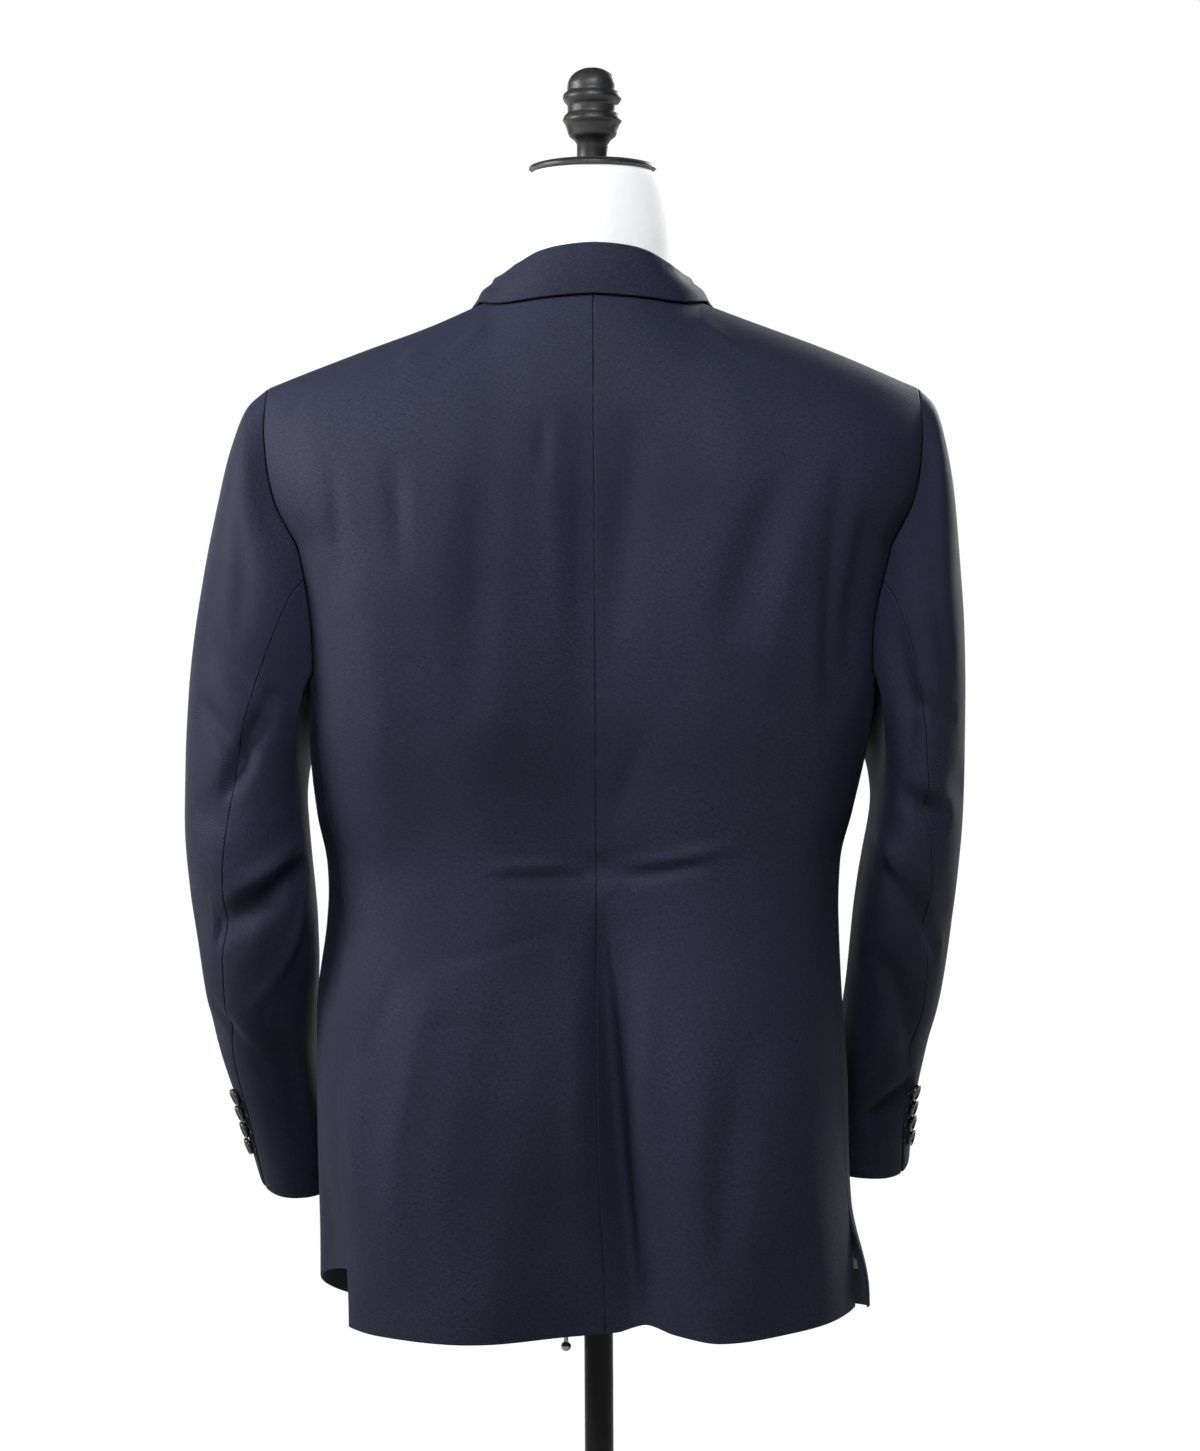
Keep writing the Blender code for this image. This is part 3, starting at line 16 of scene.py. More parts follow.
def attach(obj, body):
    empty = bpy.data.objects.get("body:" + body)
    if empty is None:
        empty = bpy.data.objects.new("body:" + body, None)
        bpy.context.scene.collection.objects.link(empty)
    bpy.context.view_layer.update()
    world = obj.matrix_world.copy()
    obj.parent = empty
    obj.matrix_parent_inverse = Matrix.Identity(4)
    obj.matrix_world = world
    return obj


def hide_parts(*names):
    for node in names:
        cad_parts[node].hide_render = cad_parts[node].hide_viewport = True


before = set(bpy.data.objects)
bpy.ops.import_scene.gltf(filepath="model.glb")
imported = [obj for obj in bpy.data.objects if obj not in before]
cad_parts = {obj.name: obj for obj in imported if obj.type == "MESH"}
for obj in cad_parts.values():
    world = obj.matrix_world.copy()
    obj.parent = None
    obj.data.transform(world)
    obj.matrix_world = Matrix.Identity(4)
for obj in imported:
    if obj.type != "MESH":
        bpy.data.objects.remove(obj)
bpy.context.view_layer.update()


# ------------------------------------------------------------------ cloth
WALL = 0.0018  # suiting with its canvas
SEAM_GAP = 0.0003  # between two pieces that a seam joins
ARMHOLE_GAP, TIP_GAP = 0.0004, 0.0004  # round the armhole, and more at the shoulder's tip
LAY_GAP = 0.0009  # between a piece and the panel that it lies on
STRIP_GAP = 0.0013  # the same under a narrow strip, whose few facets follow the panel less well

# ------------------------------------------------------------------ heights above the floor
HEM_Z = 0.703
VENT_TOP_Z = 0.930
BUTTON_Z = 1.035
CHEST_Z = 1.205
SHOULDER_TIP_Z = 1.3985
NECK_SEAM_Z = 1.4627  # where the shoulder seam reaches the collar

# ------------------------------------------------------------------ plan sizes
SHOULDER_TIP_X = 0.244
NECK_SEAM_X = 0.080
BACK_NECK_Y = 0.0645
NECKLINE_POWER = 2.2
SHOULDER_SLOPE = (NECK_SEAM_Z - SHOULDER_TIP_Z) / (SHOULDER_TIP_X - NECK_SEAM_X)
RIDGE_Y = -0.005  # the shoulder seam's place, front to back
ARCH_POWER = 2.35  # fullness from the chest line to the shoulder seam; 2 is an ellipse
UNDERARM_DIP = 0.032  # the chest line sinks this much under the arm
DIP_TURN, DIP_WIDTH = 88, 32.0  # in degrees of turn
TRAPEZIUS = 0.030  # how far the neck's root rises over the shoulder's own line

# The horizontal sections.  back, side and front are half widths, middle and blade are the depth
# behind the axis at the centre seam and at the shoulder blades, and chest is the depth in front.
SECTION_COLUMNS = (
    "height", "back_left", "back_right", "side_left", "side_right", "front",
    "middle", "blade", "chest",
)
JACKET_SECTIONS = (
    (0.700, 0.1970, 0.1860, 0.2050, 0.1830, 0.180, 0.118, 0.142, 0.128),
    (0.780, 0.2000, 0.1850, 0.2060, 0.1840, 0.180, 0.118, 0.140, 0.127),
    (0.870, 0.2030, 0.1830, 0.2060, 0.1840, 0.176, 0.116, 0.134, 0.126),
    (0.930, 0.2030, 0.1800, 0.2050, 0.1800, 0.172, 0.110, 0.124, 0.124),
    (1.000, 0.1955, 0.1780, 0.1960, 0.1740, 0.166, 0.101, 0.110, 0.119),
    (1.043, 0.1985, 0.1810, 0.1900, 0.1690, 0.163, 0.099, 0.107, 0.118),
    (1.085, 0.2060, 0.1910, 0.1920, 0.1710, 0.166, 0.104, 0.112, 0.122),
    (1.164, 0.2125, 0.2045, 0.1960, 0.1770, 0.172, 0.116, 0.126, 0.130),
    (1.215, 0.2140, 0.2100, 0.1970, 0.1790, 0.174, 0.120, 0.130, 0.130),
)
# The section's own shape: points of one half.  Each has its turn, how far across it is as a share
# of the named half width, and how far back as a share of the named depth.
RING = (
    (0, 0.00, "back", 1.00, "middle"),
    (22, 0.44, "back", 1.00, "blade"),
    (47, 0.83, "back", 0.82, "blade"),
    (68, 1.00, "back", 0.36, "blade"),
    (92, 1.00, "side", -0.08, "chest"),
    (125, 0.84, "front", -0.74, "chest"),
    (152, 0.48, "front", -0.96, "chest"),
    (180, 0.00, "front", -1.00, "chest"),
)

# The armhole's edge as the back and the front panel leave it.
BACK_ARM_TURN = 62.0
FRONT_ARM_TURN = 108.0
ARMHOLE_COLUMNS = ("height", "back_x", "front_x")
ARMHOLE = (
    (1.190, 0.2090, 0.1760),
    (1.240, 0.2130, 0.1810),
    (1.270, 0.2175, 0.1880),
    (1.288, 0.2260, 0.1940),
    (1.306, 0.2345, 0.2020),
    (1.327, 0.2400, 0.2110),
    (1.345, 0.2425, 0.2190),
    (1.370, 0.2445, 0.2310),
    (1.400, 0.2440, 0.2440),
)

# Where the two lengthwise seams of each side run, in degrees of turn.
SEAM_COLUMNS = ("height", "back_left", "back_right", "front")
SEAMS = (
    (0.700, 60.0, 66.0, 112.0),
    (0.930, 58.0, 66.0, 111.0),
    (1.040, 59.0, 65.0, 110.0),
    (1.120, 60.0, 63.5, 109.0),
    (1.205, 62.0, 62.0, 108.0),
)

# ------------------------------------------------------------------ hem and vents
HEM_COLUMNS = ("turn", "rise")
BACK_HEM = (
    (-66, 0.0120), (-40, 0.0030), (-22, -0.0030), (-13, 0.0020), (-7, 0.0080), (-2, 0.0020),
    (6, 0.0000), (26, -0.0030), (45, 0.0000), (60, 0.0020),
)
SIDE_HEM_RISE = {1: 0.043, -1: 0.012}  # at the vent, on the left and on the right
FRONT_HEM_RISE = 0.003
HEM_RISE_TURNS = 60.0
HEM_RISE_SHARE = 0.30  # the share of the skirt's height that the rise takes to fade out
VENT_LAP_TURN = {1: 4.0, -1: 0.0}  # the side body reaches this far under the back panel
VENT_STEP, VENT_FADE, VENT_SUNK_ABOVE = 0.004, 0.040, 0.036
SUNK_TURNS = 14.0  # how far round the side body is sunk under the back panel
FLARE, FLARE_TOP_Z, FLARE_HIGH, FLARE_TURNS = 0.010, 0.790, 0.075, 16.0  # right vent's corner
SEAM_DRIFT = 0.005  # the centre seam hangs this far to the right at the hem
SEAM_DRIFT_TOP_Z = 0.860

# ------------------------------------------------------------------ fronts
FRONT_EDGE_COLUMNS = ("height", "past_middle")
FRONT_EDGE = (  # how far the front's edge lies past the middle; negative is cut away from it
    (0.703, -0.118),
    (0.708, -0.092),
    (0.722, -0.064),
    (0.750, -0.042),
    (0.800, -0.020),
    (0.880, 0.000),
    (0.960, 0.014),
    (1.035, 0.019),
)
FRONT_PAST_MIDDLE = 0.019
LEFT_OVER_RIGHT = WALL + LAY_GAP
OVERLAP_FROM_X, OVERLAP_TO_X = 0.045, 0.022  # the left front rises over the right one here

# ------------------------------------------------------------------ lapels
ROLL_LOW = (-FRONT_PAST_MIDDLE, BUTTON_Z)  # the roll line, as x and height
ROLL_HIGH = (NECK_SEAM_X, 1.452)
LAPEL_COLUMNS = ("along", "width")
LAPEL_EDGE = (
    (0.00, 0.005),
    (0.12, 0.027),
    (0.30, 0.053),
    (0.55, 0.078),
    (0.80, 0.093),
    (1.00, 0.101),
)
# The lapel's upper edge, as across and along.
LAPEL_TOP = ((0.00, 0.905), (0.42, 0.868), (0.47, 0.872), (1.00, 0.938))
LAPEL_START = {1: 0.02, -1: 0.11}  # lower down the left front covers the right one
LAPEL_ROLL = 0.0045  # the lapel stands this much off the front at its roll
LAPEL_LIFT = 0.0003  # more at its outer edge, where the chest rounds away
LAPEL_PEAK_LIFT = 0.0015
LAPEL_CLEAR = 0.0010

# ------------------------------------------------------------------ collar
# Stations from the middle of the back (-1) past the shoulder seam (0) to the gorge (1).  stand
# is the fold's height over the neck seam, lean how far it stands out from it, and cover how far
# the fall's edge reaches past the neck seam over the coat.
COLLAR_COLUMNS = ("along", "stand", "lean", "cover")
COLLAR = (
    (-1.00, 0.0255, 0.0000, 0.0055),
    (-0.60, 0.0255, -0.0010, 0.0060),
    (-0.30, 0.0220, -0.0050, 0.0060),
    (0.00, 0.0155, -0.0090, 0.0055),
    (0.30, 0.0140, -0.0090, 0.0130),
    (0.60, 0.0105, -0.0060, 0.0270),
    (1.00, 0.0060, -0.0020, 0.0430),
)
COLLAR_WALL = 0.0018
COLLAR_FOLD = 0.0030  # the fold's inner radius
COLLAR_LIFT = 0.0022  # from the coat to the middle of the collar's wall
GORGE_GAP = 0.0110  # as a share of the roll line
COLLAR_TURNING = 1.5  # how late the fall turns from backwards to sideways
BELLY_SHARE, BELLY_OUT, BELLY_UP = 0.55, 0.0015, 0.0010  # the fall's roundness half way down
STATION_SPREAD = 1.4  # stations are closer together by the shoulder

# ------------------------------------------------------------------ sleeves
# Each ring is given by four points: the outermost and innermost as x and height, the rearmost
# and foremost as y and height.  The first ring only stands for the armhole.
SLEEVE_COLUMNS = (
    "outer_x", "outer_z", "inner_x", "inner_z", "back_y", "back_z", "front_y", "front_z",
)
LEFT_SLEEVE = (
    (0.2430, 1.3980, 0.2060, 1.1740, 0.060, 1.270, -0.066, 1.270),
    (0.2580, 1.3840, 0.2120, 1.1590, 0.071, 1.254, -0.074, 1.258),
    (0.2690, 1.3560, 0.2140, 1.1410, 0.078, 1.232, -0.077, 1.238),
    (0.2800, 1.3160, 0.2160, 1.1220, 0.082, 1.204, -0.077, 1.212),
    (0.2915, 1.2680, 0.2165, 1.0970, 0.084, 1.170, -0.076, 1.180),
    (0.2990, 1.2190, 0.2150, 1.0710, 0.085, 1.134, -0.075, 1.146),
    (0.3040, 1.1700, 0.2130, 1.0460, 0.085, 1.098, -0.075, 1.112),
    (0.3065, 1.1250, 0.2110, 1.0220, 0.082, 1.064, -0.076, 1.080),
    (0.3070, 1.0800, 0.2100, 0.9980, 0.076, 1.030, -0.079, 1.050),
    (0.3050, 1.0350, 0.2100, 0.9740, 0.067, 0.997, -0.086, 1.020),
    (0.3010, 0.9900, 0.2110, 0.9460, 0.051, 0.962, -0.097, 0.990),
    (0.2965, 0.9450, 0.2110, 0.9150, 0.029, 0.924, -0.112, 0.958),
    (0.2880, 0.9000, 0.2080, 0.8820, 0.001, 0.882, -0.129, 0.924),
    (0.2760, 0.8560, 0.2010, 0.8490, -0.030, 0.835, -0.146, 0.888),
    (0.2640, 0.8120, 0.1930, 0.8160, -0.060, 0.784, -0.161, 0.852),
)
RIGHT_SLEEVE = (
    (0.2430, 1.3980, 0.2060, 1.1740, 0.060, 1.270, -0.066, 1.270),
    (0.2560, 1.3840, 0.2090, 1.1590, 0.071, 1.254, -0.074, 1.258),
    (0.2640, 1.3560, 0.2090, 1.1410, 0.078, 1.232, -0.077, 1.238),
    (0.2700, 1.3160, 0.2085, 1.1220, 0.083, 1.204, -0.077, 1.212),
    (0.2735, 1.2680, 0.2065, 1.0970, 0.086, 1.170, -0.077, 1.180),
    (0.2760, 1.2190, 0.2035, 1.0710, 0.087, 1.134, -0.077, 1.146),
    (0.2770, 1.1700, 0.1990, 1.0460, 0.087, 1.098, -0.077, 1.112),
    (0.2765, 1.1250, 0.1950, 1.0220, 0.084, 1.064, -0.078, 1.080),
    (0.2750, 1.0800, 0.1920, 0.9980, 0.078, 1.030, -0.081, 1.050),
    (0.2715, 1.0350, 0.1900, 0.9740, 0.068, 0.997, -0.088, 1.020),
    (0.2660, 0.9900, 0.1880, 0.9460, 0.052, 0.962, -0.099, 0.990),
    (0.2590, 0.9450, 0.1850, 0.9150, 0.030, 0.924, -0.114, 0.958),
    (0.2490, 0.9000, 0.1800, 0.8820, 0.003, 0.884, -0.131, 0.924),
    (0.2430, 0.8560, 0.1740, 0.8530, -0.028, 0.842, -0.147, 0.890),
    (0.2410, 0.8170, 0.1690, 0.8210, -0.056, 0.797, -0.161, 0.857),
)
SLEEVE_POWER = 2.25
SLEEVE_BACK_TURN = (104.0, 42.0)  # the back seam round the sleeve, at the armhole and the cuff
SLEEVE_FRONT_TURN = (250.0, 214.0)  # the inner seam
SEAM_WANDER = 1.3  # how late down the sleeve the seams do their turning
SEAT_SHARE = 0.34  # the share of the sleeve over which it leaves the armhole's own shape
CUFF_VENT, CUFF_NOTCH_TURN = 0.10, 3.5  # the vent's share of the sleeve, and how it gapes
FOLD_FACING = 0.2  # a trough stays on the side of the sleeve that faces as its middle does

# ------------------------------------------------------------------ small pieces
BUTTON_R, BUTTON_THICK = 0.0100, 0.0042
CUFF_BUTTON_R, CUFF_BUTTON_THICK = 0.0068, 0.0034
CUFF_BUTTON_SHARES = (0.955, 0.935, 0.915, 0.895)  # down the sleeve
CUFF_BUTTON_IN = 13.0  # from the vent's edge, in degrees round the sleeve
BUTTON_SHANK = 0.0008
FRONT_BUTTON_LIFT = 0.0012  # the wider button spans more of the front's curve
BUTTON_TURNS, HOLE_AT, HOLE_R = 64, 0.26, 0.095  # the last two as shares of its radius
POCKET_X, POCKET_Z, POCKET_WIDE, POCKET_TILT = 0.095, 0.890, 0.116, 0.06
JET_HIGH, JET_THICK = 0.0060, 0.0015
WELT_X, WELT_Z, WELT_WIDE, WELT_HIGH, WELT_TILT = 0.1395, 1.212, 0.058, 0.023, 0.14

# ------------------------------------------------------------------ dress form and stand
FORM_BOTTOM_Z = 0.738
CAP_R, CAP_BOTTOM_Z, CAP_THICK = 0.0478, 1.5622, 0.0080
CAP_RIM = 0.0015  # the cap thins to its rim in a low dome
# Radius and height above the cap, from the top down.
FINIAL = (
    (0.0050, 0.0684), (0.0110, 0.0662), (0.0160, 0.0620), (0.0185, 0.0560), (0.0188, 0.0515),
    (0.0212, 0.0492), (0.0222, 0.0462), (0.0208, 0.0430), (0.0186, 0.0400), (0.0185, 0.0355),
    (0.0210, 0.0325), (0.0222, 0.0292), (0.0205, 0.0262), (0.0192, 0.0228), (0.0178, 0.0180),
    (0.0135, 0.0140), (0.0117, 0.0112),
)
FINIAL_TOP, FINIAL_TIP = 0.0687, (0.0025, 0.0002)  # the flat tip's radius, and its fall there
DOME_POINTS, FINIAL_POINTS = 28, 90
COVER_VOXEL, COVER_SMOOTHINGS = 0.0045, 14
POLE_R, POLE_BOTTOM_Z, POLE_TOP_Z = 0.0108, 0.0043, 0.888
BORE_GAP = 0.0004
SOCKET_R, SOCKET_BOTTOM_Z = 0.0180, 0.7250
SOCKET_EDGE, POLE_EDGE = 0.0012, 0.001
BASE_R, BASE_THICK, BASE_EDGE = 0.190, 0.009, 0.003
HUB_R, HUB_TOP_Z, HUB_FLOOR_Z = 0.021, 0.034, 0.0040
FACE_GAP = 0.0003


# ------------------------------------------------------------------ folds of the cloth
# A fold runs from one place over a middle one to another, each given by x and height.  Its depth
# is that of a trough, and is negative for a ridge.
FOLD_COLUMNS = ("from_x", "from_z", "mid_x", "mid_z", "to_x", "to_z", "half_width", "depth")
MAIN_FOLDS = (  # the deep ones, which the solids have too
    (-0.0050, 1.0100, -0.0143, 0.8400, -0.0235, 0.6700, 0.0170, 0.0140),
    (0.0350, 1.0400, -0.0150, 1.0415, -0.0650, 1.0430, 0.0090, 0.0035),
    (-0.2000, 1.3300, -0.1880, 1.2400, -0.1760, 1.1500, 0.0110, 0.0070),
    (-0.1350, 1.3250, -0.1175, 1.2625, -0.1000, 1.2000, 0.0150, 0.0045),
    (0.0120, 1.3200, 0.0100, 1.2300, 0.0080, 1.1400, 0.0120, 0.0035),
    (0.0850, 1.3200, 0.0850, 1.2350, 0.0850, 1.1500, 0.0170, 0.0030),
)
BACK_FOLDS = (
    (0.0780, 1.3552, 0.0857, 1.2720, 0.0892, 1.1417, 0.0145, 0.0027),  # left blade valley
    (0.0078, 1.3589, 0.0102, 1.3082, 0.0078, 1.2141, 0.0054, 0.0015),  # left of centre, narrow
    (0.0257, 1.3950, 0.0290, 1.3154, 0.0252, 1.1996, 0.0109, -0.0024),  # left of centre, ridge
    (-0.0379, 1.3733, -0.0216, 1.3010, -0.0093, 1.1635, 0.0136, 0.0048),  # right of centre valley
    (-0.1550, 1.3480, -0.1185, 1.2865, -0.0876, 1.1924, 0.0136, 0.0024),  # right blade valley
    (-0.1680, 1.3299, -0.1429, 1.2503, -0.1193, 1.1562, 0.0109, -0.0020),  # right, beside it a ridge
    (-0.1839, 1.3408, -0.1741, 1.2648, -0.1699, 1.1417, 0.0081, 0.0049),  # right armhole fold
    (-0.2186, 1.3357, -0.2023, 1.2648, -0.1829, 1.1417, 0.0090, 0.0024),  # right armhole deepest
    (-0.1998, 1.3335, -0.1894, 1.2720, -0.1787, 1.1779, 0.0072, -0.0024),  # right armhole ridge
    (0.1446, 1.3480, 0.1434, 1.3082, 0.1393, 1.2575, 0.0081, 0.0028),  # left small
    (0.1910, 1.3408, 0.1883, 1.2865, 0.1843, 1.2286, 0.0072, 0.0032),  # left armhole small
    (0.1696, 1.2648, 0.1586, 1.1562, 0.1527, 1.0404, 0.0181, -0.0032),  # left sheen ridge
    (0.0352, 1.3733, 0.0375, 1.3480, 0.0362, 1.3227, 0.0054, 0.0020),  # small between
    (-0.0396, 1.1417, -0.0235, 1.1056, -0.0146, 1.0694, 0.0081, 0.0019),  # low right
    (0.0761, 1.4443, 0.0928, 1.4283, 0.1095, 1.4081, 0.0054, -0.0019),  # collar left ridge
    (0.0819, 1.4312, 0.0994, 1.4153, 0.1183, 1.3950, 0.0063, 0.0015),  # collar left groove
    (0.1239, 1.4254, 0.1327, 1.4182, 0.1414, 1.4095, 0.0054, -0.0015),  # collar left ridge 2
    (-0.0774, 1.4443, -0.0918, 1.4312, -0.1105, 1.4153, 0.0054, -0.0019),  # collar right ridge
    (-0.0831, 1.4327, -0.0975, 1.4211, -0.1170, 1.4059, 0.0063, 0.0015),  # collar right groove
    (0.2102, 1.3950, 0.2182, 1.3842, 0.2255, 1.3697, 0.0054, 0.0015),  # shoulder tip left
    (0.0840, 1.0404, 0.0405, 1.0426, 0.0029, 1.0411, 0.0034, -0.0028),  # waist left ridge
    (0.0768, 1.0332, 0.0370, 1.0346, 0.0044, 1.0325, 0.0040, 0.0022),  # waist left groove
    (-0.0058, 1.0426, -0.0463, 1.0462, -0.1043, 1.0571, 0.0040, -0.0038),  # waist right ridge
    (-0.0072, 1.0332, -0.0390, 1.0368, -0.0825, 1.0448, 0.0047, 0.0030),  # waist right groove
    (-0.0057, 1.0187, -0.0130, 1.0296, -0.0217, 1.0361, 0.0034, -0.0017),  # waist right short
    (0.1119, 0.9681, 0.1384, 0.8812, 0.1565, 0.7256, 0.0127, -0.0033),  # left skirt ridge
    (0.0626, 0.9825, 0.0776, 0.8667, 0.0928, 0.7365, 0.0235, 0.0045),  # left skirt valley
    (0.1408, 0.9717, 0.1569, 0.9319, 0.1687, 0.8957, 0.0081, 0.0015),  # left skirt upper valley
    (0.1817, 0.9029, 0.1776, 0.8450, 0.1722, 0.7799, 0.0072, -0.0018),  # left vent ridge
    (0.0103, 1.0042, 0.0138, 0.8884, 0.0132, 0.7292, 0.0109, -0.0021),  # left of seam ridge
    (-0.0388, 0.9825, -0.0295, 0.8667, -0.0273, 0.7365, 0.0109, -0.0030),  # right of valley ridge
    (-0.1123, 0.9246, -0.0945, 0.8378, -0.0823, 0.7292, 0.0163, 0.0045),  # right skirt valley
    (-0.1471, 0.9391, -0.1394, 0.8523, -0.1316, 0.7437, 0.0145, -0.0021),  # right skirt ridge
    (0.1205, 0.9717, 0.0770, 0.9825, 0.0227, 0.9970, 0.0045, 0.0010),  # faint left 1
    (0.1280, 0.9246, 0.0990, 0.9282, 0.0701, 0.9246, 0.0054, 0.0008),  # faint left 2
    (0.0681, 1.0259, 0.0480, 1.0042, 0.0279, 0.9717, 0.0045, 0.0010),  # faint left 3
    (-0.0020, 1.0200, -0.0110, 0.8700, -0.0215, 0.6800, 0.0065, 0.0090),  # right of the seam, sharp
)
FRONT_FOLDS = (
    # drag lines towards the button
    (0.0300, 1.0500, 0.0700, 1.0750, 0.1250, 1.1200, 0.0110, 0.0022),
    (0.0300, 1.0250, 0.0750, 1.0150, 0.1300, 1.0200, 0.0100, 0.0020),
    (-0.0300, 1.0500, -0.0750, 1.0800, -0.1300, 1.1150, 0.0110, 0.0020),
    (-0.0350, 1.0200, -0.0800, 1.0050, -0.1350, 1.0150, 0.0100, 0.0022),
    # the skirt hangs in soft waves below the pockets
    (0.0450, 0.9800, 0.0500, 0.8500, 0.0400, 0.7300, 0.0140, 0.0030),
    (0.1300, 0.8700, 0.1350, 0.7900, 0.1280, 0.7050, 0.0160, 0.0030),
    (-0.0550, 0.9700, -0.0600, 0.8400, -0.0520, 0.7300, 0.0150, 0.0030),
    (-0.1250, 0.8700, -0.1300, 0.7900, -0.1260, 0.7050, 0.0150, 0.0028),
    # the chest breaks softly beside the armhole
    (0.1650, 1.3100, 0.1550, 1.2600, 0.1480, 1.2100, 0.0110, 0.0022),
    (-0.1600, 1.3050, -0.1520, 1.2500, -0.1450, 1.1900, 0.0110, 0.0026),
    (0.1350, 1.1700, 0.1420, 1.1000, 0.1500, 1.0300, 0.0130, 0.0018),
    (-0.1300, 1.1600, -0.1380, 1.1000, -0.1480, 1.0300, 0.0130, 0.0018),
)

# ------------------------------------------------------------------ grids of the cloth
ROWS_LOW, ROWS_HIGH = 118, 62  # below and above the chest line
BACK_COLUMNS, SIDE_COLUMNS, FRONT_COLUMNS = 84, 34, 76
SLEEVE_ROWS, SLEEVE_COLUMNS_TOP, SLEEVE_COLUMNS_UNDER = 120, 84, 46
LAPEL_ROWS, LAPEL_ACROSS = 110, 30
STRIP_COLUMNS, STRIP_ROWS = 40, 8
COLLAR_STATIONS, COLLAR_GRID, COLLAR_ACROSS = 27, 200, 40
EDGE_LINES = (0.12, 0.35, 0.65, 1.0)  # grid lines close to a cut edge, as shares of it
EDGE_ROLL = 0.0010  # how far a folded edge is rounded under
SEAM_SHARE, HEM_SHARE, TOP_SHARE = 0.006, 0.003, 0.004
FACING = 0.030  # inside, the lining starts this far from an edge
ARM_LEVELS = np.linspace(0.02, 1.0, 60)
SOLVER_STEPS, NECKLINE_STEPS = 14, 4
FADE_POWER = 0.8
SHARP = 40.0  # a turned piece's edge is drawn sharp from this many degrees
WELD = 1e-6  # points closer than this are one
EDGE_SEARCH, EDGE_SEARCH_STEPS = (115.0, 215.0), 30  # a front's edge is found in these turns
BACKWARD, FORWARD = np.array([0, 1.0, 0]), np.array([0, -1.0, 0])
SIDE_NAMES = {1: "left", -1: "right"}

# ------------------------------------------------------------------ unevenness and sleeve folds
FOLDS_FROM_Y, FOLDS_FADE = 0.02, 0.03  # the torso's folds fade in this far behind and before
RIPPLES = (  # slow waves: how fast across and up, phase and size
    (31.0, 7.0, 0.3, 0.00055),
    (-17.0, 19.0, 1.9, 0.00060),
    (53.0, -11.0, 4.1, 0.00030),
    (23.0, 43.0, 2.6, 0.00028),
    (-71.0, 37.0, 0.9, 0.00016),
)
SLEEVE_FOLD_COLUMNS = (
    "side", "from_share", "from_turn", "mid_share", "mid_turn", "to_share", "to_turn", "half",
    "depth",
)
SLEEVE_FOLDS = (
    # those of the solids
    (1, 0.555, 36.0, 0.512, 64.0, 0.470, 92.0, 0.014, 0.0030),
    (1, 0.690, 20.0, 0.650, 60.0, 0.610, 100.0, 0.022, 0.0050),
    (1, 0.830, 10.0, 0.815, 40.0, 0.800, 70.0, 0.015, 0.0030),
    (-1, 0.600, 84.0, 0.660, 54.0, 0.720, 24.0, 0.014, 0.0035),
    (-1, 0.500, 60.0, 0.515, 40.0, 0.530, 20.0, 0.015, 0.0030),
    (-1, 0.860, 20.0, 0.840, 50.0, 0.820, 80.0, 0.014, 0.0025),
    # those read in the photo
    (1, 0.489, 71.4, 0.385, 89.6, 0.268, 103.6, 0.0076, 0.0096),
    (1, 0.701, 37.6, 0.545, 114.4, 0.428, 160.7, 0.0110, 0.0115),
    (1, 0.672, 34.5, 0.510, 111.3, 0.374, 161.6, 0.0076, -0.0059),
    (1, 0.403, 39.7, 0.390, 74.0, 0.384, 96.2, 0.0076, 0.0050),
    (1, 0.324, 99.0, 0.265, 105.1, 0.213, 109.1, 0.0068, 0.0050),
    (1, 0.777, 85.6, 0.595, 136.2, 0.426, 167.1, 0.0051, -0.0042),
    (1, 0.771, 35.2, 0.810, 61.6, 0.849, 104.0, 0.0068, 0.0037),
    (1, 0.318, 50.4, 0.285, 84.9, 0.246, 109.2, 0.0085, 0.0042),
    (1, 0.144, 37.9, 0.170, 66.2, 0.261, 76.3, 0.0102, 0.0034),
    (1, 0.737, 96.2, 0.860, 114.4, 0.970, 110.4, 0.0085, 0.0042),
    (-1, 0.480, 123.9, 0.610, 89.6, 0.720, 45.0, 0.0085, 0.0116),
    (-1, 0.369, 118.3, 0.460, 88.0, 0.544, 49.5, 0.0076, 0.0097),
    (-1, 0.926, 101.9, 0.900, 75.6, 0.874, 41.2, 0.0068, 0.0065),
    (-1, 0.390, 149.5, 0.520, 108.2, 0.715, 55.7, 0.0068, -0.0061),
    (-1, 0.632, 130.5, 0.755, 88.0, 0.859, 49.5, 0.0085, 0.0057),
    (-1, 0.200, 117.3, 0.330, 84.9, 0.428, 44.5, 0.0076, 0.0045),
    (-1, 0.087, 75.4, 0.250, 69.3, 0.380, 57.2, 0.0093, 0.0041),
    (-1, 0.089, 109.1, 0.245, 105.1, 0.369, 105.1, 0.0085, 0.0052),
    # elbow folds at the front, and the outer sides
    (1, 0.420, 300.0, 0.450, 325.0, 0.440, 350.0, 0.012, 0.0030),
    (1, 0.530, 290.0, 0.560, 320.0, 0.545, 350.0, 0.014, 0.0042),
    (1, 0.620, 285.0, 0.640, 315.0, 0.630, 345.0, 0.013, 0.0036),
    (1, 0.720, 295.0, 0.735, 320.0, 0.720, 345.0, 0.012, 0.0026),
    (1, 0.850, 300.0, 0.860, 325.0, 0.850, 350.0, 0.012, 0.0022),
    (-1, 0.420, 300.0, 0.440, 325.0, 0.430, 350.0, 0.012, 0.0030),
    (-1, 0.520, 290.0, 0.545, 318.0, 0.530, 350.0, 0.014, 0.0042),
    (-1, 0.610, 288.0, 0.630, 318.0, 0.620, 345.0, 0.013, 0.0034),
    (-1, 0.700, 295.0, 0.720, 322.0, 0.705, 345.0, 0.012, 0.0026),
    (-1, 0.840, 300.0, 0.850, 325.0, 0.840, 350.0, 0.012, 0.0022),
)
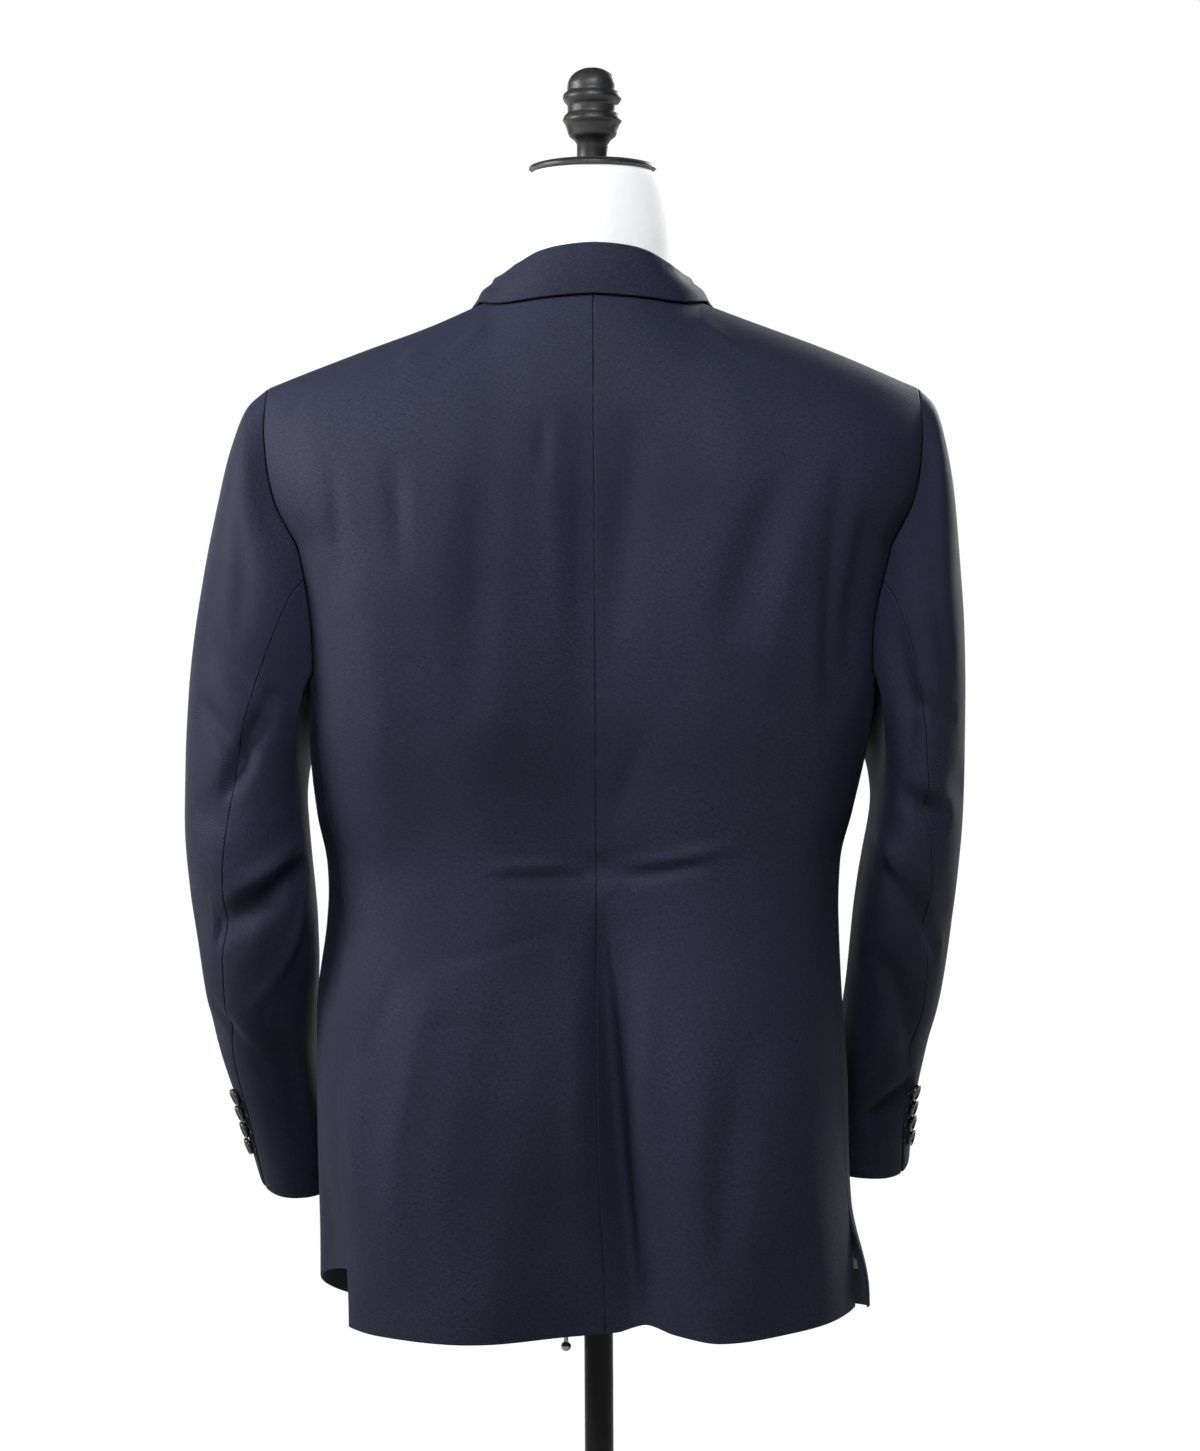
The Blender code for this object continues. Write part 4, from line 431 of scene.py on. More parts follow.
CUFF_LAP_SHARES, CUFF_LAP_TURNS = (0.895, 0.993), (-14.0, 12.0)
CUFF_LAP_GAP, CUFF_LAP_WALL, CUFF_LAP_ROLL = 0.0005, 0.0012, 0.0005
CUFF_LAP_GRID = (26, 20)

# ------------------------------------------------------------------ sewing
CUFF_HOLE_IN, CUFF_HOLE_OUT = 2.5, 11.0  # from the button towards the vent, in degrees
LAPEL_STITCH_IN = 7  # grid lines in from the lapel's edge
STITCH_STEP, STITCH_LONG, STITCH_R = 0.0042, 0.0013, 0.00022
LAPEL_HOLE_LONG, LAPEL_HOLE_ROW, LAPEL_HOLE_COLUMN = 0.020, 0.83, 0.74  # the last two as shares
FRONT_STITCH_IN, FRONT_STITCH_DROP, FRONT_STITCH_LOW_Z = 0.0055, 0.010, 0.735
FRONT_STITCH_SKIP = {1: 6, -1: 70}  # left out below the button; the left front hides more of them
TACK_LONG, TACK_STEP, TACK_HALF = 0.013, 0.0007, 0.0009  # the last is half the bar's width
TACK_OUT, TACK_RISE, TACK_THREAD_R = 0.0022, 0.0005, 0.0003  # off the front, and over its own ends
HOLE_STEP, HOLE_THREAD_R, HOLE_END_STITCHES = 0.0009, 0.0004, 5  # round a buttonhole
# The points of a buttonhole's stitches, as out from the slot and up from the cloth.
HOLE_SIDE_STITCH = ((0.0003, 0.0001), (0.0008, 0.00055), (0.0014, 0.0001))
HOLE_END_STITCH = ((0.0003, 0.0001), (0.0009, 0.00055), (0.0015, 0.0001))
# As shares of a button's thickness: where its thread lies, its ends, its arch and the holes' depth.
THREAD_TOP, THREAD_END, THREAD_ARCH, HOLE_DEEP = 0.62, 0.32, 0.10, 0.42
# How far a thread is from a hole's middle, as a share of the hole's radius, the thread's own radius
# as a share of the button's, and its lift in metres.
THREAD_PAIR, THREAD_R, THREAD_OFF = 0.286, 0.0412, 2e-4
# A button's section from its middle over its rim and back below, as shares of radius and thickness.
BUTTON_DISH = (
    (0, 0.60), (0.08, 0.60), (0.14, 0.60), (0.2, 0.60), (0.26, 0.60), (0.32, 0.60), (0.38, 0.60),
    (0.44, 0.60), (0.5, 0.605), (0.56, 0.62), (0.62, 0.67), (0.68, 0.78), (0.73, 0.88),
    (0.78, 0.95), (0.84, 1.0), (0.9, 0.985), (0.95, 0.92), (0.985, 0.80), (1.0, 0.62), (1.0, 0.40),
    (0.985, 0.22), (0.93, 0.08), (0.7, 0.0), (0.35, 0.0), (0, 0.0),
)

# ------------------------------------------------------------------ camera and lights
PHOTO_HIGH, FOCAL_PX = 1451, 4300.0
CAMERA_PLACE = (-0.0034, 3.230, 1.145)
CAMERA_ROLL = 0.30
SENSOR, CLIP = 36.0, (0.05, 60)
FLOOR_RINGS, FLOOR_SIDES, FLOOR_DROP = (0.6, 1.4, 2.2, 3.2, 4.6, 7.0), 96, 0.0002
FLOOR_GLOW = (0.6, 3.3, 0.42, 1.0)  # from the first distance to the second, its low and high
WORLD_LIGHT = 0.03
NECK_GLOW_Z, NECK_GLOW = (1.463, 1.492), 0.35  # painted glow: the jersey emits light that whitens the neck, rising between these heights to this strength
LIGHT_AIM = (0, 0, 1.15)
LIGHTS = (  # name, place, size, power, colour and spread in degrees
    ("key", (1.76, 0.31, 1.95), (0.8, 0.8), 8.0, (1.0, 0.985, 0.96), 75.0),
    ("fill", (0.0, 1.50, 2.47), (0.9, 0.9), 5.4, (0.95, 0.97, 1.0), 75.0),
    ("front", (-1.70, -2.70, 2.40), (1.2, 1.2), 22.0, (1.0, 0.99, 0.97), 80.0),
    ("front_fill", (1.30, -2.90, 1.60), (1.2, 1.6), 2.5, (1.0, 1.0, 1.0), 90.0),
)


# ================================================================== tables and curves
def hermite(t, long, low, high, low_slope, high_slope):
    """A cubic between two values with their slopes, at a share t of a stretch so long."""
    return (
        low * (1 + 2 * t) * (1 - t) ** 2
        + low_slope * long * t * (1 - t) ** 2
        + high * t * t * (3 - 2 * t)
        + high_slope * long * t * t * (t - 1)
    )


def curve(rows, columns, key, value):
    """A smooth curve through one column of a table as a function of another column."""
    x = np.array([row[columns.index(key)] for row in rows], float)
    y = np.array([row[columns.index(value)] for row in rows], float)
    step = np.diff(y) / np.diff(x)
    slope = np.zeros(len(x))
    turning = step[:-1] * step[1:] <= 0
    slope[1:-1] = np.where(
        turning, 0.0, 2 * step[:-1] * step[1:] / np.where(turning, 1.0, step[:-1] + step[1:])
    )
    slope[0], slope[-1] = step[0], step[-1]

    def at(place):
        p = np.clip(np.asarray(place, float), x[0], x[-1])
        i = np.clip(np.searchsorted(x, p) - 1, 0, len(x) - 2)
        long = x[i + 1] - x[i]
        return hermite((p - x[i]) / long, long, y[i], y[i + 1], slope[i], slope[i + 1])

    return at


def ease(t):
    t = np.clip(t, 0, 1)
    return t * t * (3 - 2 * t)


def powered(value, power):
    return np.sign(value) * np.abs(value) ** (2 / power)


def unit(vectors):
    return vectors / np.maximum(np.linalg.norm(vectors, axis=-1, keepdims=True), 1e-12)


def walk(line):
    """The distance walked along a line, at each of its points."""
    steps = np.linalg.norm(np.diff(line, axis=0), axis=1)
    return np.concatenate([[0], np.cumsum(steps)])


def splined(at, values, wanted):
    """Values given at rising places, read in between by a smooth curve."""
    slope = np.gradient(values, at, axis=0)
    i = np.clip(np.searchsorted(at, wanted) - 1, 0, len(at) - 2)
    shape = (-1,) + (1,) * (values.ndim - 1)
    long = (at[i + 1] - at[i]).reshape(shape)
    t = (wanted - at[i]).reshape(shape) / long
    return hermite(t, long, values[i], values[i + 1], slope[i], slope[i + 1])


def raised(lift):
    """Steps straight up by each lift."""
    return np.stack([0 * lift, 0 * lift, lift], -1)


# ================================================================== the figure
class Figure:
    """The surface of a dressed torso, from its sections and its shoulders."""

    def __init__(self, sections):
        self.size = {
            name: curve(sections, SECTION_COLUMNS, "height", name) for name in SECTION_COLUMNS[1:]
        }
        self.edge_x = {
            turn: curve(ARMHOLE, ARMHOLE_COLUMNS, "height", name)
            for turn, name in ((BACK_ARM_TURN, "back_x"), (FRONT_ARM_TURN, "front_x"))
        }
        self.knots = sorted(
            (side * row[0] + lap, side, row)
            for lap in (-360, 0, 360)
            for side in (-1, 1)
            for row in RING
            if not (side < 0 and row[0] in (0, 180)) and abs(side * row[0] + lap) < 300
        )
        # The half widths at the armhole's two edges, on the chest line.
        self.arm_x = {
            (side, turn): abs(float(self.section(side * turn, CHEST_Z)[..., 0]))
            for side in (-1, 1)
            for turn in (BACK_ARM_TURN, FRONT_ARM_TURN)
        }

    def section(self, turn, height):
        """A point of the horizontal section: x and y."""
        turn = np.mod(np.asarray(turn, float) + 180, 360) - 180
        turns = np.array([knot[0] for knot in self.knots], float)
        size = {name: read(height) + 0 * turn for name, read in self.size.items()}
        places = []
        for _, side, (_, across, width, deep, depth) in self.knots:
            if width != "front":
                width += "_left" if side > 0 else "_right"
            places.append(np.stack([side * across * size[width], deep * size[depth]], -1))
        places = np.stack(places)
        slopes = np.zeros_like(places)
        span = (turns[2:] - turns[:-2]).reshape((-1,) + (1,) * (places.ndim - 1))
        slopes[1:-1] = (places[2:] - places[:-2]) / span
        i = np.clip(np.searchsorted(turns, turn) - 1, 1, len(turns) - 3)
        spots = tuple(np.indices(turn.shape))
        long = (turns[i + 1] - turns[i])[..., None]
        t = (turn - turns[i])[..., None] / long
        low, high = (i,) + spots, (i + 1,) + spots
        return hermite(t, long, places[low], places[high], slopes[low], slopes[high])

    def ridge_z(self, x):
        """The shoulder line's height at x."""
        share = np.minimum(np.abs(x) / NECK_SEAM_X, 1)
        inside = NECK_SEAM_X * (share**2 - 1) / 2  # the line bends over smoothly at the neck
        out = np.where(share < 1, inside, np.abs(x) - NECK_SEAM_X)
        return NECK_SEAM_Z - SHOULDER_SLOPE * out + TRAPEZIUS * (1 - share**2) ** 2

    def point(self, turn, level):
        """A point of the surface, at a turn in degrees and a level from -1 to 1."""
        turn, level = np.broadcast_arrays(np.asarray(turn, float), np.asarray(level, float))
        low = np.clip(level, -1, 0)
        high = np.clip(level, 0, 1) * math.pi / 2
        height = CHEST_Z + low * (CHEST_Z - HEM_Z)
        plan = self.section(turn, height)
        around = np.abs(np.mod(turn + 180, 360) - 180)
        dip = UNDERARM_DIP * np.exp(-(((around - DIP_TURN) / DIP_WIDTH) ** 4))
        base_z = height - dip * ease(1 + low * 3)
        rise = np.sin(high) ** (2 / ARCH_POWER)
        lean = np.maximum(np.cos(high), 0) ** (2 / ARCH_POWER)
        # Above the chest line each column is drawn out sideways to the armhole's own x.
        left = np.mod(turn + 180, 360) >= 180
        tip_z = base_z + (SHOULDER_TIP_Z - base_z) * rise
        back_stretch, front_stretch = (
            edge_x(tip_z) / np.where(left, self.arm_x[1, edge], self.arm_x[-1, edge])
            for edge, edge_x in self.edge_x.items()
        )
        share = np.clip((around - BACK_ARM_TURN) / (FRONT_ARM_TURN - BACK_ARM_TURN), 0, 1)
        stretch = back_stretch * (1 - share) + front_stretch * share
        stretch = 1 + (stretch - 1) * ease(np.clip(level, 0, 1) * 5)
        x = plan[..., 0] * stretch
        y = RIDGE_Y + (plan[..., 1] - RIDGE_Y) * lean
        z = base_z + (self.ridge_z(x) - base_z) * rise
        z = np.where(level > 0, z, base_z)
        return np.stack([x, np.where(level > 0, y, plan[..., 1]), z], axis=-1)

    def normal(self, turn, level):
        """The surface's outward direction."""
        turn, level = np.broadcast_arrays(np.asarray(turn, float), np.asarray(level, float))
        safe = np.clip(level, -0.996, 0.990)
        along = self.point(turn + 0.4, safe) - self.point(turn - 0.4, safe)
        up = self.point(turn, safe + 0.004) - self.point(turn, safe - 0.004)
        out = np.cross(up, along)
        out[..., 1] *= ease((1 - level) / 0.10)
        return unit(out)


JACKET = Figure(JACKET_SECTIONS)


# ================================================================== materials
def node(tree, kind, inputs=None, **settings):
    """A shader node with its settings, and its inputs from values or other nodes' outputs."""
    made = tree.nodes.new("ShaderNode" + kind)
    for name, value in settings.items():
        setattr(made, name, value)
    for key, value in (inputs or {}).items():
        if isinstance(value, bpy.types.NodeSocket):
            tree.links.new(value, made.inputs[key])
        else:
            made.inputs[key].default_value = value
    return made


class Look:
    """A material in the making: its shader, and the texture nodes that feed it."""

    def __init__(self, name, colour, roughness, **sockets):
        self.made = bpy.data.materials.new(name)
        self.made.use_nodes = True
        self.made.diffuse_color = (*colour, 1)
        self.tree = self.made.node_tree
        self.inputs = self.tree.nodes["Principled BSDF"].inputs
        self.inputs["Base Color"].default_value = (*colour, 1)
        self.inputs["Roughness"].default_value = roughness
        for key, value in sockets.items():
            self.inputs[key.replace("_", " ").title().replace("Ior", "IOR")].default_value = value
        self.solid = node(self.tree, "TexCoord").outputs["Object"]

    def mixed(self, share, low, high):
        """A colour between two, by a share."""
        mix = node(self.tree, "Mix", {0: share}, data_type="RGBA")
        for slot, value in ((6, low), (7, high)):
            if isinstance(value, bpy.types.NodeSocket):
                self.tree.links.new(value, mix.inputs[slot])
            else:
                mix.inputs[slot].default_value = (*value, 1)
        return mix.outputs[2]

    def ramp(self, value, low, high, to_low=0.0, to_high=1.0):
        return node(self.tree, "MapRange", {
            "Value": value, "From Min": low, "From Max": high, "To Min": to_low, "To Max": to_high,
        }, interpolation_type="SMOOTHSTEP").outputs[0]

    def noise(self, scale, detail=2.0, rough=0.5, stretch=(1, 1, 1), where=None):
        where = self.solid if where is None else where
        if stretch != (1, 1, 1):
            where = node(self.tree, "Mapping", {"Vector": where, "Scale": stretch}).outputs[0]
        return node(self.tree, "TexNoise", {
            "Vector": where, "Scale": scale, "Detail": detail, "Roughness": rough,
        }).outputs["Fac"]

    def added(self, first, second, kind="ADD"):
        return node(self.tree, "Math", {0: first, 1: second}, operation=kind).outputs[0]

    def times(self, first, second):
        return self.added(first, second, "MULTIPLY")

    def feed(self, **outputs):
        """Links texture outputs to the shader's inputs."""
        for key, output in outputs.items():
            self.tree.links.new(output, self.inputs[key.replace("_", " ").title()])

    def bump(self, height, strength, distance, under=None):
        """Bumps the shader's normal, over another bump where one is given."""
        made = node(self.tree, "Bump", {
            "Height": height, "Strength": strength, "Distance": distance,
        } | ({} if under is None else {"Normal": under}))
        self.feed(normal=made.outputs[0])
        return made.outputs[0]


def cloth_look(name, dark, light, deep, roughness, twill, bump_size, wear, soft_size, **sockets):
    """Woven cloth: twill lines and heathered yarn on the piece's own grain, with soft wear."""
    look = Look(name, light, roughness, **sockets)
    grain = node(look.tree, "UVMap", uv_map="cloth").outputs[0]
    lines = node(look.tree, "TexWave", {
        "Vector": grain, "Scale": twill, "Distortion": 0.6, "Detail": 1.0, "Detail Scale": 1.5,
    }, wave_type="BANDS", bands_direction="DIAGONAL").outputs["Fac"]
    yarn = look.noise(1050.0, 2.0, 0.6, (1.0, 0.30, 1.0), grain)
    cross = look.noise(950.0, 2.0, 0.6, (0.28, 1.0, 1.0), grain)
    heather = look.times(look.added(yarn, cross), 0.5)
    weave = look.added(look.times(lines, 0.30), look.times(heather, 1.5))
    colour = look.mixed(look.ramp(weave, 0.55, 1.30), dark, light)
    worn = look.ramp(look.noise(7.0, 5.0, 0.6), 0.35, 0.70)
    rough = look.added(heather, look.times(worn, wear * 2))
    look.feed(base_color=look.mixed(look.times(worn, wear), colour, deep),
              roughness=look.ramp(rough, 0.5, 1.5, roughness - 0.07, roughness + 0.06))
    fuzz = look.noise(2300.0, 2.0, 0.7)
    fine = look.bump(look.added(weave, look.times(fuzz, 0.35)), 0.55, bump_size)
    look.bump(look.noise(26.0, 3.0, 0.55), 0.35, soft_size, fine)
    return look.made


def wood_look():
    look = Look("black_wood_lacquer", (0.020, 0.020, 0.021), 0.3,
                coat_weight=0.2, coat_roughness=0.35)
    grain = look.noise(120.0, 5.0, 0.6, (1.0, 1.0, 0.08))
    scuff = look.noise(340.0, 4.0, 0.65)
    look.feed(base_color=look.mixed(look.ramp(grain, 0.3, 0.75), (0.013, 0.013, 0.014),
                                    (0.036, 0.035, 0.034)),
              roughness=look.ramp(scuff, 0.35, 0.7, 0.42, 0.54))
    look.bump(look.added(grain, scuff), 0.15, 0.0001)
    return look.made


def paint_look():
    look = Look("black_powder_paint", (0.016, 0.015, 0.016), 0.42, specular_ior_level=0.2)
    cloud = look.noise(24.0, 4.0, 0.6)
    look.feed(base_color=look.mixed(cloud, (0.014, 0.0132, 0.0142), (0.026, 0.0245, 0.0258)),
              roughness=look.ramp(cloud, 0.3, 0.7, 0.34, 0.50))
    look.bump(look.noise(1500.0, 2.0, 0.6), 0.4, 0.00025)
    return look.made


def jersey_look():
    look = Look("white_jersey", (0.86, 0.86, 0.84), 0.88, sheen_weight=0.15,
                emission_color=(1.0, 1.0, 1.0, 1))
    height = node(look.tree, "SeparateXYZ", {"Vector": look.solid}).outputs["Z"]
    rib = look.noise(700.0, 1.0, 0.5, (1.0, 1.0, 0.16))
    row = look.noise(900.0, 1.0, 0.5, (0.2, 0.2, 1.0))
    knit = look.added(rib, row)
    # painted glow: the cover emits white light near the neck, rising with height, which whitens it
    look.feed(base_color=look.mixed(look.ramp(knit, 0.7, 1.3), (0.80, 0.80, 0.79),
                                    (0.89, 0.89, 0.875)),
              emission_strength=look.ramp(height, *NECK_GLOW_Z, 0.0, NECK_GLOW))
    look.bump(knit, 0.5, 0.0004)
    return look.made


def horn_look():
    look = Look("dark_horn", (0.020, 0.019, 0.022), 0.3, coat_weight=0.3)
    cloud = look.noise(260.0, 4.0, 0.6, (1.0, 1.0, 0.4))
    look.feed(base_color=look.mixed(look.ramp(cloud, 0.38, 0.68), (0.012, 0.011, 0.013),
                                    (0.050, 0.042, 0.038)),
              roughness=look.ramp(cloud, 0.3, 0.7, 0.22, 0.40))
    look.bump(look.noise(1800.0, 2.0), 0.2, 0.0001)
    return look.made


def thread_look():
    look = Look("sewing_thread", (0.030, 0.033, 0.052), 0.6, sheen_weight=0.2)
    ply = look.noise(3200.0, 2.0)
    look.feed(base_color=look.mixed(ply, (0.016, 0.018, 0.030), (0.052, 0.056, 0.082)))
    look.bump(ply, 0.6, 0.0001)
    return look.made


def steel_look():
    look = Look("plated_steel", (0.32, 0.32, 0.32), 0.33, metallic=1.0)
    brushed = look.noise(900.0, 3.0, 0.6, (0.1, 1.0, 1.0))
    look.feed(base_color=look.mixed(brushed, (0.24, 0.24, 0.245), (0.42, 0.41, 0.40)),
              roughness=look.ramp(brushed, 0.3, 0.7, 0.25, 0.42))
    look.bump(brushed, 0.2, 0.0001)
    return look.made


def floor_look():
    """Pale, and shining more with the distance from the stand, as the photo's backdrop does."""
    look = Look("pale_floor", (0.72, 0.72, 0.72), 0.7, emission_color=(1, 1, 1, 1))
    away = node(look.tree, "VectorMath", {0: look.solid}, operation="LENGTH").outputs["Value"]
    look.feed(base_color=look.mixed(look.noise(3.0, 4.0, 0.6), (0.70, 0.70, 0.705),
                                    (0.74, 0.74, 0.735)),
              emission_strength=look.ramp(away, *FLOOR_GLOW))
    return look.made


WOOL = cloth_look("navy_worsted_wool", (0.0122, 0.0140, 0.0310), (0.0380, 0.0422, 0.0765),
                  (0.0190, 0.0215, 0.0425), 0.74, 520.0, 0.00035, 0.45, 0.0022,
                  sheen_weight=0.03, sheen_roughness=0.30, specular_ior_level=0.16)
SATIN = cloth_look("navy_silk_satin", (0.0090, 0.0100, 0.0210), (0.0240, 0.0260, 0.0450),
                   (0.0165, 0.0180, 0.0330), 0.42, 900.0, 0.00010, 0.30, 0.0004,
                   specular_ior_level=0.45, anisotropic=0.4)
LINING = cloth_look("burgundy_lining", (0.035, 0.006, 0.010), (0.085, 0.016, 0.024),
                    (0.050, 0.010, 0.016), 0.38, 1100.0, 0.00010, 0.40, 0.0010,
                    specular_ior_level=0.5)
BLACK_WOOD, BLACK_PAINT = wood_look(), paint_look()
JERSEY, HORN, THREAD, STEEL = jersey_look(), horn_look(), thread_look(), steel_look()


# ================================================================== folds
def fold_line(points, samples=9):
    """A fold's line through its middle point, as a bent curve of short stretches."""
    t = np.linspace(0, 1, samples)[:, None]
    start, middle, end = (np.asarray(point, float) for point in points)
    control = 2 * middle - (start + end) / 2
    return (1 - t) ** 2 * start + 2 * t * (1 - t) * control + t * t * end


def trough(places, line, half_width):
    """0 to 1: how near each place is to a fold's line, fading out towards the line's ends."""
    walked = walk(line)
    steps, walked = np.diff(walked), walked / walked[-1]
    nearest = np.full(places.shape[:-1], np.inf)
    where = np.zeros(places.shape[:-1])
    for i, step in enumerate(steps):
        run = line[i + 1] - line[i]
        along = ((places - line[i]) @ run) / step**2
        clipped = np.clip(along, 0, 1)
        off = np.linalg.norm(places - line[i] - clipped[..., None] * run, axis=-1)
        closer = off < nearest
        nearest = np.where(closer, off, nearest)
        where = np.where(closer, walked[i] + clipped * (walked[i + 1] - walked[i]), where)
    fade = np.sin(math.pi * np.clip(where, 0, 1)) ** FADE_POWER
    return fade * np.exp(-((nearest / half_width) ** 2))


def fold_depth(plain, rows):
    places = plain[..., [0, 2]]
    depth = np.zeros(plain.shape[:-1])
    for row in rows:
        fold = dict(zip(FOLD_COLUMNS, row))
        line = fold_line([(fold[end + "_x"], fold[end + "_z"]) for end in ("from", "mid", "to")])
        depth = depth + fold["depth"] * trough(places, line, fold["half_width"])
    return depth


def ripple(plain):
    """The slight unevenness of hanging cloth, in metres."""
    total = np.zeros(plain.shape[:-1])
    for across, up, phase, size in RIPPLES:
        angle = across * plain[..., 0] + up * plain[..., 2] + 0.4 * across * plain[..., 1] + phase
        total = total + size * np.sin(angle)
    return total


def coat_point(turn, level, out=0.0):
    """A point of the jacket's cloth with its folds, moved out along the cloth's normal."""
    plain = JACKET.point(turn, level)
    normal = JACKET.normal(turn, level)
    behind = ease((plain[..., 1] - FOLDS_FROM_Y) / FOLDS_FADE)
    before = ease((-plain[..., 1] - FOLDS_FROM_Y) / FOLDS_FADE)
    depth = fold_depth(plain, MAIN_FOLDS + BACK_FOLDS) * behind
    depth = depth + fold_depth(plain, FRONT_FOLDS) * before + ripple(plain)
    drift = SEAM_DRIFT * ease((SEAM_DRIFT_TOP_Z - plain[..., 2]) / (SEAM_DRIFT_TOP_Z - HEM_Z))
    plain = plain - np.stack([drift * behind, 0 * drift, 0 * drift], -1)
    return plain + normal * (np.asarray(out) - depth)[..., None]


# ================================================================== shells
def edged(count, near):
    """Shares from 0 to 1 for a grid, with extra lines close to both ends to round the edge."""
    close = np.array(EDGE_LINES) * near
    return np.concatenate([[0], close, np.linspace(close[-1], 1 - close[-1], count)[1:-1],
                           1 - close[::-1], [1]])


def normals_of(points):
    return unit(np.cross(np.gradient(points, axis=1), np.gradient(points, axis=0)))


def arc(points, axis):
    """Distance walked along one axis of a grid."""
    step = np.linalg.norm(np.diff(points, axis=axis), axis=-1)
    pad = [(0, 0), (0, 0)]
    pad[axis] = (1, 0)
    return np.pad(np.cumsum(step, axis=axis), pad)


def new_mesh(name, verts, faces, *looks):
    mesh = bpy.data.meshes.new(name)
    mesh.from_pydata(verts, [], faces)
    for look in looks:
        mesh.materials.append(look)
    mesh.shade_smooth()
    return mesh


def welded(mesh, outwards=False):
    """Joins a mesh's points where they meet, and turns its faces outwards where asked."""
    work = bmesh.new()
    work.from_mesh(mesh)
    bmesh.ops.remove_doubles(work, verts=work.verts, dist=WELD)
    if outwards:
        bmesh.ops.recalc_face_normals(work, faces=work.faces)
    work.to_mesh(mesh)
    work.free()


def grid_faces(here, ahead):
    """The faces between each place of a grid and the next one in its row."""
    return np.stack([here[:-1], ahead[:-1], ahead[1:], here[1:]], -1).reshape(-1, 4)


def shell(name, points, towards, looks, nodes, thick=WALL, roll=EDGE_ROLL):
    """A closed cloth wall below a grid of points, with its cut edges rolled under.  looks is the
    outer and the inner material.  towards is the side that the cloth's outside faces."""
    normal = normals_of(points)
    sign = np.sign(np.sum(normal * towards, axis=-1).mean())
    normal = normal * sign
    across, along = arc(points, 1), arc(points, 0)
    deep = np.minimum.reduce([across, across[:, -1:] - across, along, along[-1:] - along])
    near = np.clip(1 - deep / roll, 0, 1)
    drop = 1 - np.sqrt(np.maximum(1 - near**2, 0))
    outer = points - normal * (drop * roll)[..., None]
    inner = points - normal * thick
    rows, columns = points.shape[:2]
    verts = np.concatenate([outer.reshape(-1, 3), inner.reshape(-1, 3)])
    spot = np.arange(rows * columns).reshape(rows, columns)
    quads = grid_faces(spot[:, :-1], spot[:, 1:])
    ring = np.concatenate([spot[0, :-1], spot[:-1, -1], spot[-1, :0:-1], spot[:0:-1, 0]])
    after = np.roll(ring, -1)
    low = rows * columns
    rim = np.stack([after, ring, ring + low, after + low], -1)
    faces = np.concatenate([quads, quads[:, ::-1] + low, rim])
    if sign < 0:
        faces = faces[:, ::-1]
    mesh = new_mesh(name, verts.tolist(), faces.tolist(), *looks)
    if len(looks) > 1:
        corner = np.maximum.reduce([deep[:-1, :-1], deep[:-1, 1:], deep[1:, 1:], deep[1:, :-1]])
        lined = (corner.reshape(-1) > FACING).astype(int)
        index = np.concatenate([np.zeros(len(quads), int), lined, np.zeros(len(rim), int)])
        mesh.polygons.foreach_set("material_index", index.astype(np.int32))
    flat = np.concatenate([np.stack([across, along], -1).reshape(-1, 2)] * 2)
    layer = mesh.uv_layers.new(name="cloth")
    loops = np.zeros(len(mesh.loops), np.int32)
    mesh.loops.foreach_get("vertex_index", loops)
    layer.data.foreach_set("uv", flat[loops].astype(np.float32).ravel())
    return put(name, mesh, nodes)


def put(name, mesh, nodes=(), body="form"):
    """Puts a finished mesh in the scene, riding on its body, in place of its CAD nodes."""
    thing = bpy.data.objects.new(name, mesh)
    bpy.context.scene.collection.objects.link(thing)
    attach(thing, body)
    if nodes:
        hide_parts(*nodes)
    return thing


def lathe(name, profile, look, body, nodes, sides=96):
    """A turned piece: a profile of radius and height, from its top down, all round Z."""
    radius, height = np.array(profile, float).T
    angle = np.arange(sides) * 2 * math.pi / sides
    ring = np.stack([np.cos(angle), np.sin(angle)], -1)
    verts, faces, starts = [], [], []
    for r, h in zip(radius, height):
        starts.append((len(verts), 1 if r < WELD else sides))
        verts += [(0, 0, h)] if r < WELD else [(r * c, r * s, h) for c, s in ring]
    for (a, count_a), (b, count_b) in zip(starts, starts[1:]):
        for i in range(sides):
            j = (i + 1) % sides
            top = [a] if count_a == 1 else [a + i, a + j]
            low = [b] if count_b == 1 else [b + j, b + i]
            if len(top) + len(low) > 2:
                faces.append(tuple(top + low)[::-1])
    if profile[0] == profile[-1]:
        first, last = starts[0][0], starts[-1][0]
        for i in range(sides):
            verts[last + i] = verts[first + i]
    mesh = new_mesh(name, verts, faces, look)
    welded(mesh)
    mesh.set_sharp_from_angle(angle=math.radians(SHARP))
    return put(name, mesh, nodes, body)


def place(x, value, axis, behind):
    """The turn and level at which the back or the front has an x and a y (1) or a height (2)."""
    x, value = np.broadcast_arrays(np.asarray(x, float), np.asarray(value, float))
    turn = x * 300 if behind else 180 - x * 400
    low, high = (value - CHEST_Z) / (CHEST_Z - HEM_Z), (value - CHEST_Z) * 3.2
    level = np.full(x.shape, 0.85) if axis == 1 else np.where(value < CHEST_Z, low, high)
    wanted = np.stack([x, value], -1)
    for _ in range(SOLVER_STEPS):
        level = np.clip(level, -1, 0.985)
        here = JACKET.point(turn, level)[..., [0, axis]]
        by_turn = (JACKET.point(turn + 0.2, level)[..., [0, axis]] - here) / 0.2
        by_level = (JACKET.point(turn, level + 0.004)[..., [0, axis]] - here) / 0.004
        miss = wanted - here
        area = by_turn[..., 0] * by_level[..., 1] - by_turn[..., 1] * by_level[..., 0]
        turn_step = (miss[..., 0] * by_level[..., 1] - miss[..., 1] * by_level[..., 0]) / area
        level_step = (by_turn[..., 0] * miss[..., 1] - by_turn[..., 1] * miss[..., 0]) / area
        turn = turn + np.clip(turn_step, -8, 8)
        level = level + np.clip(level_step, -0.08, 0.08)
    return turn, level


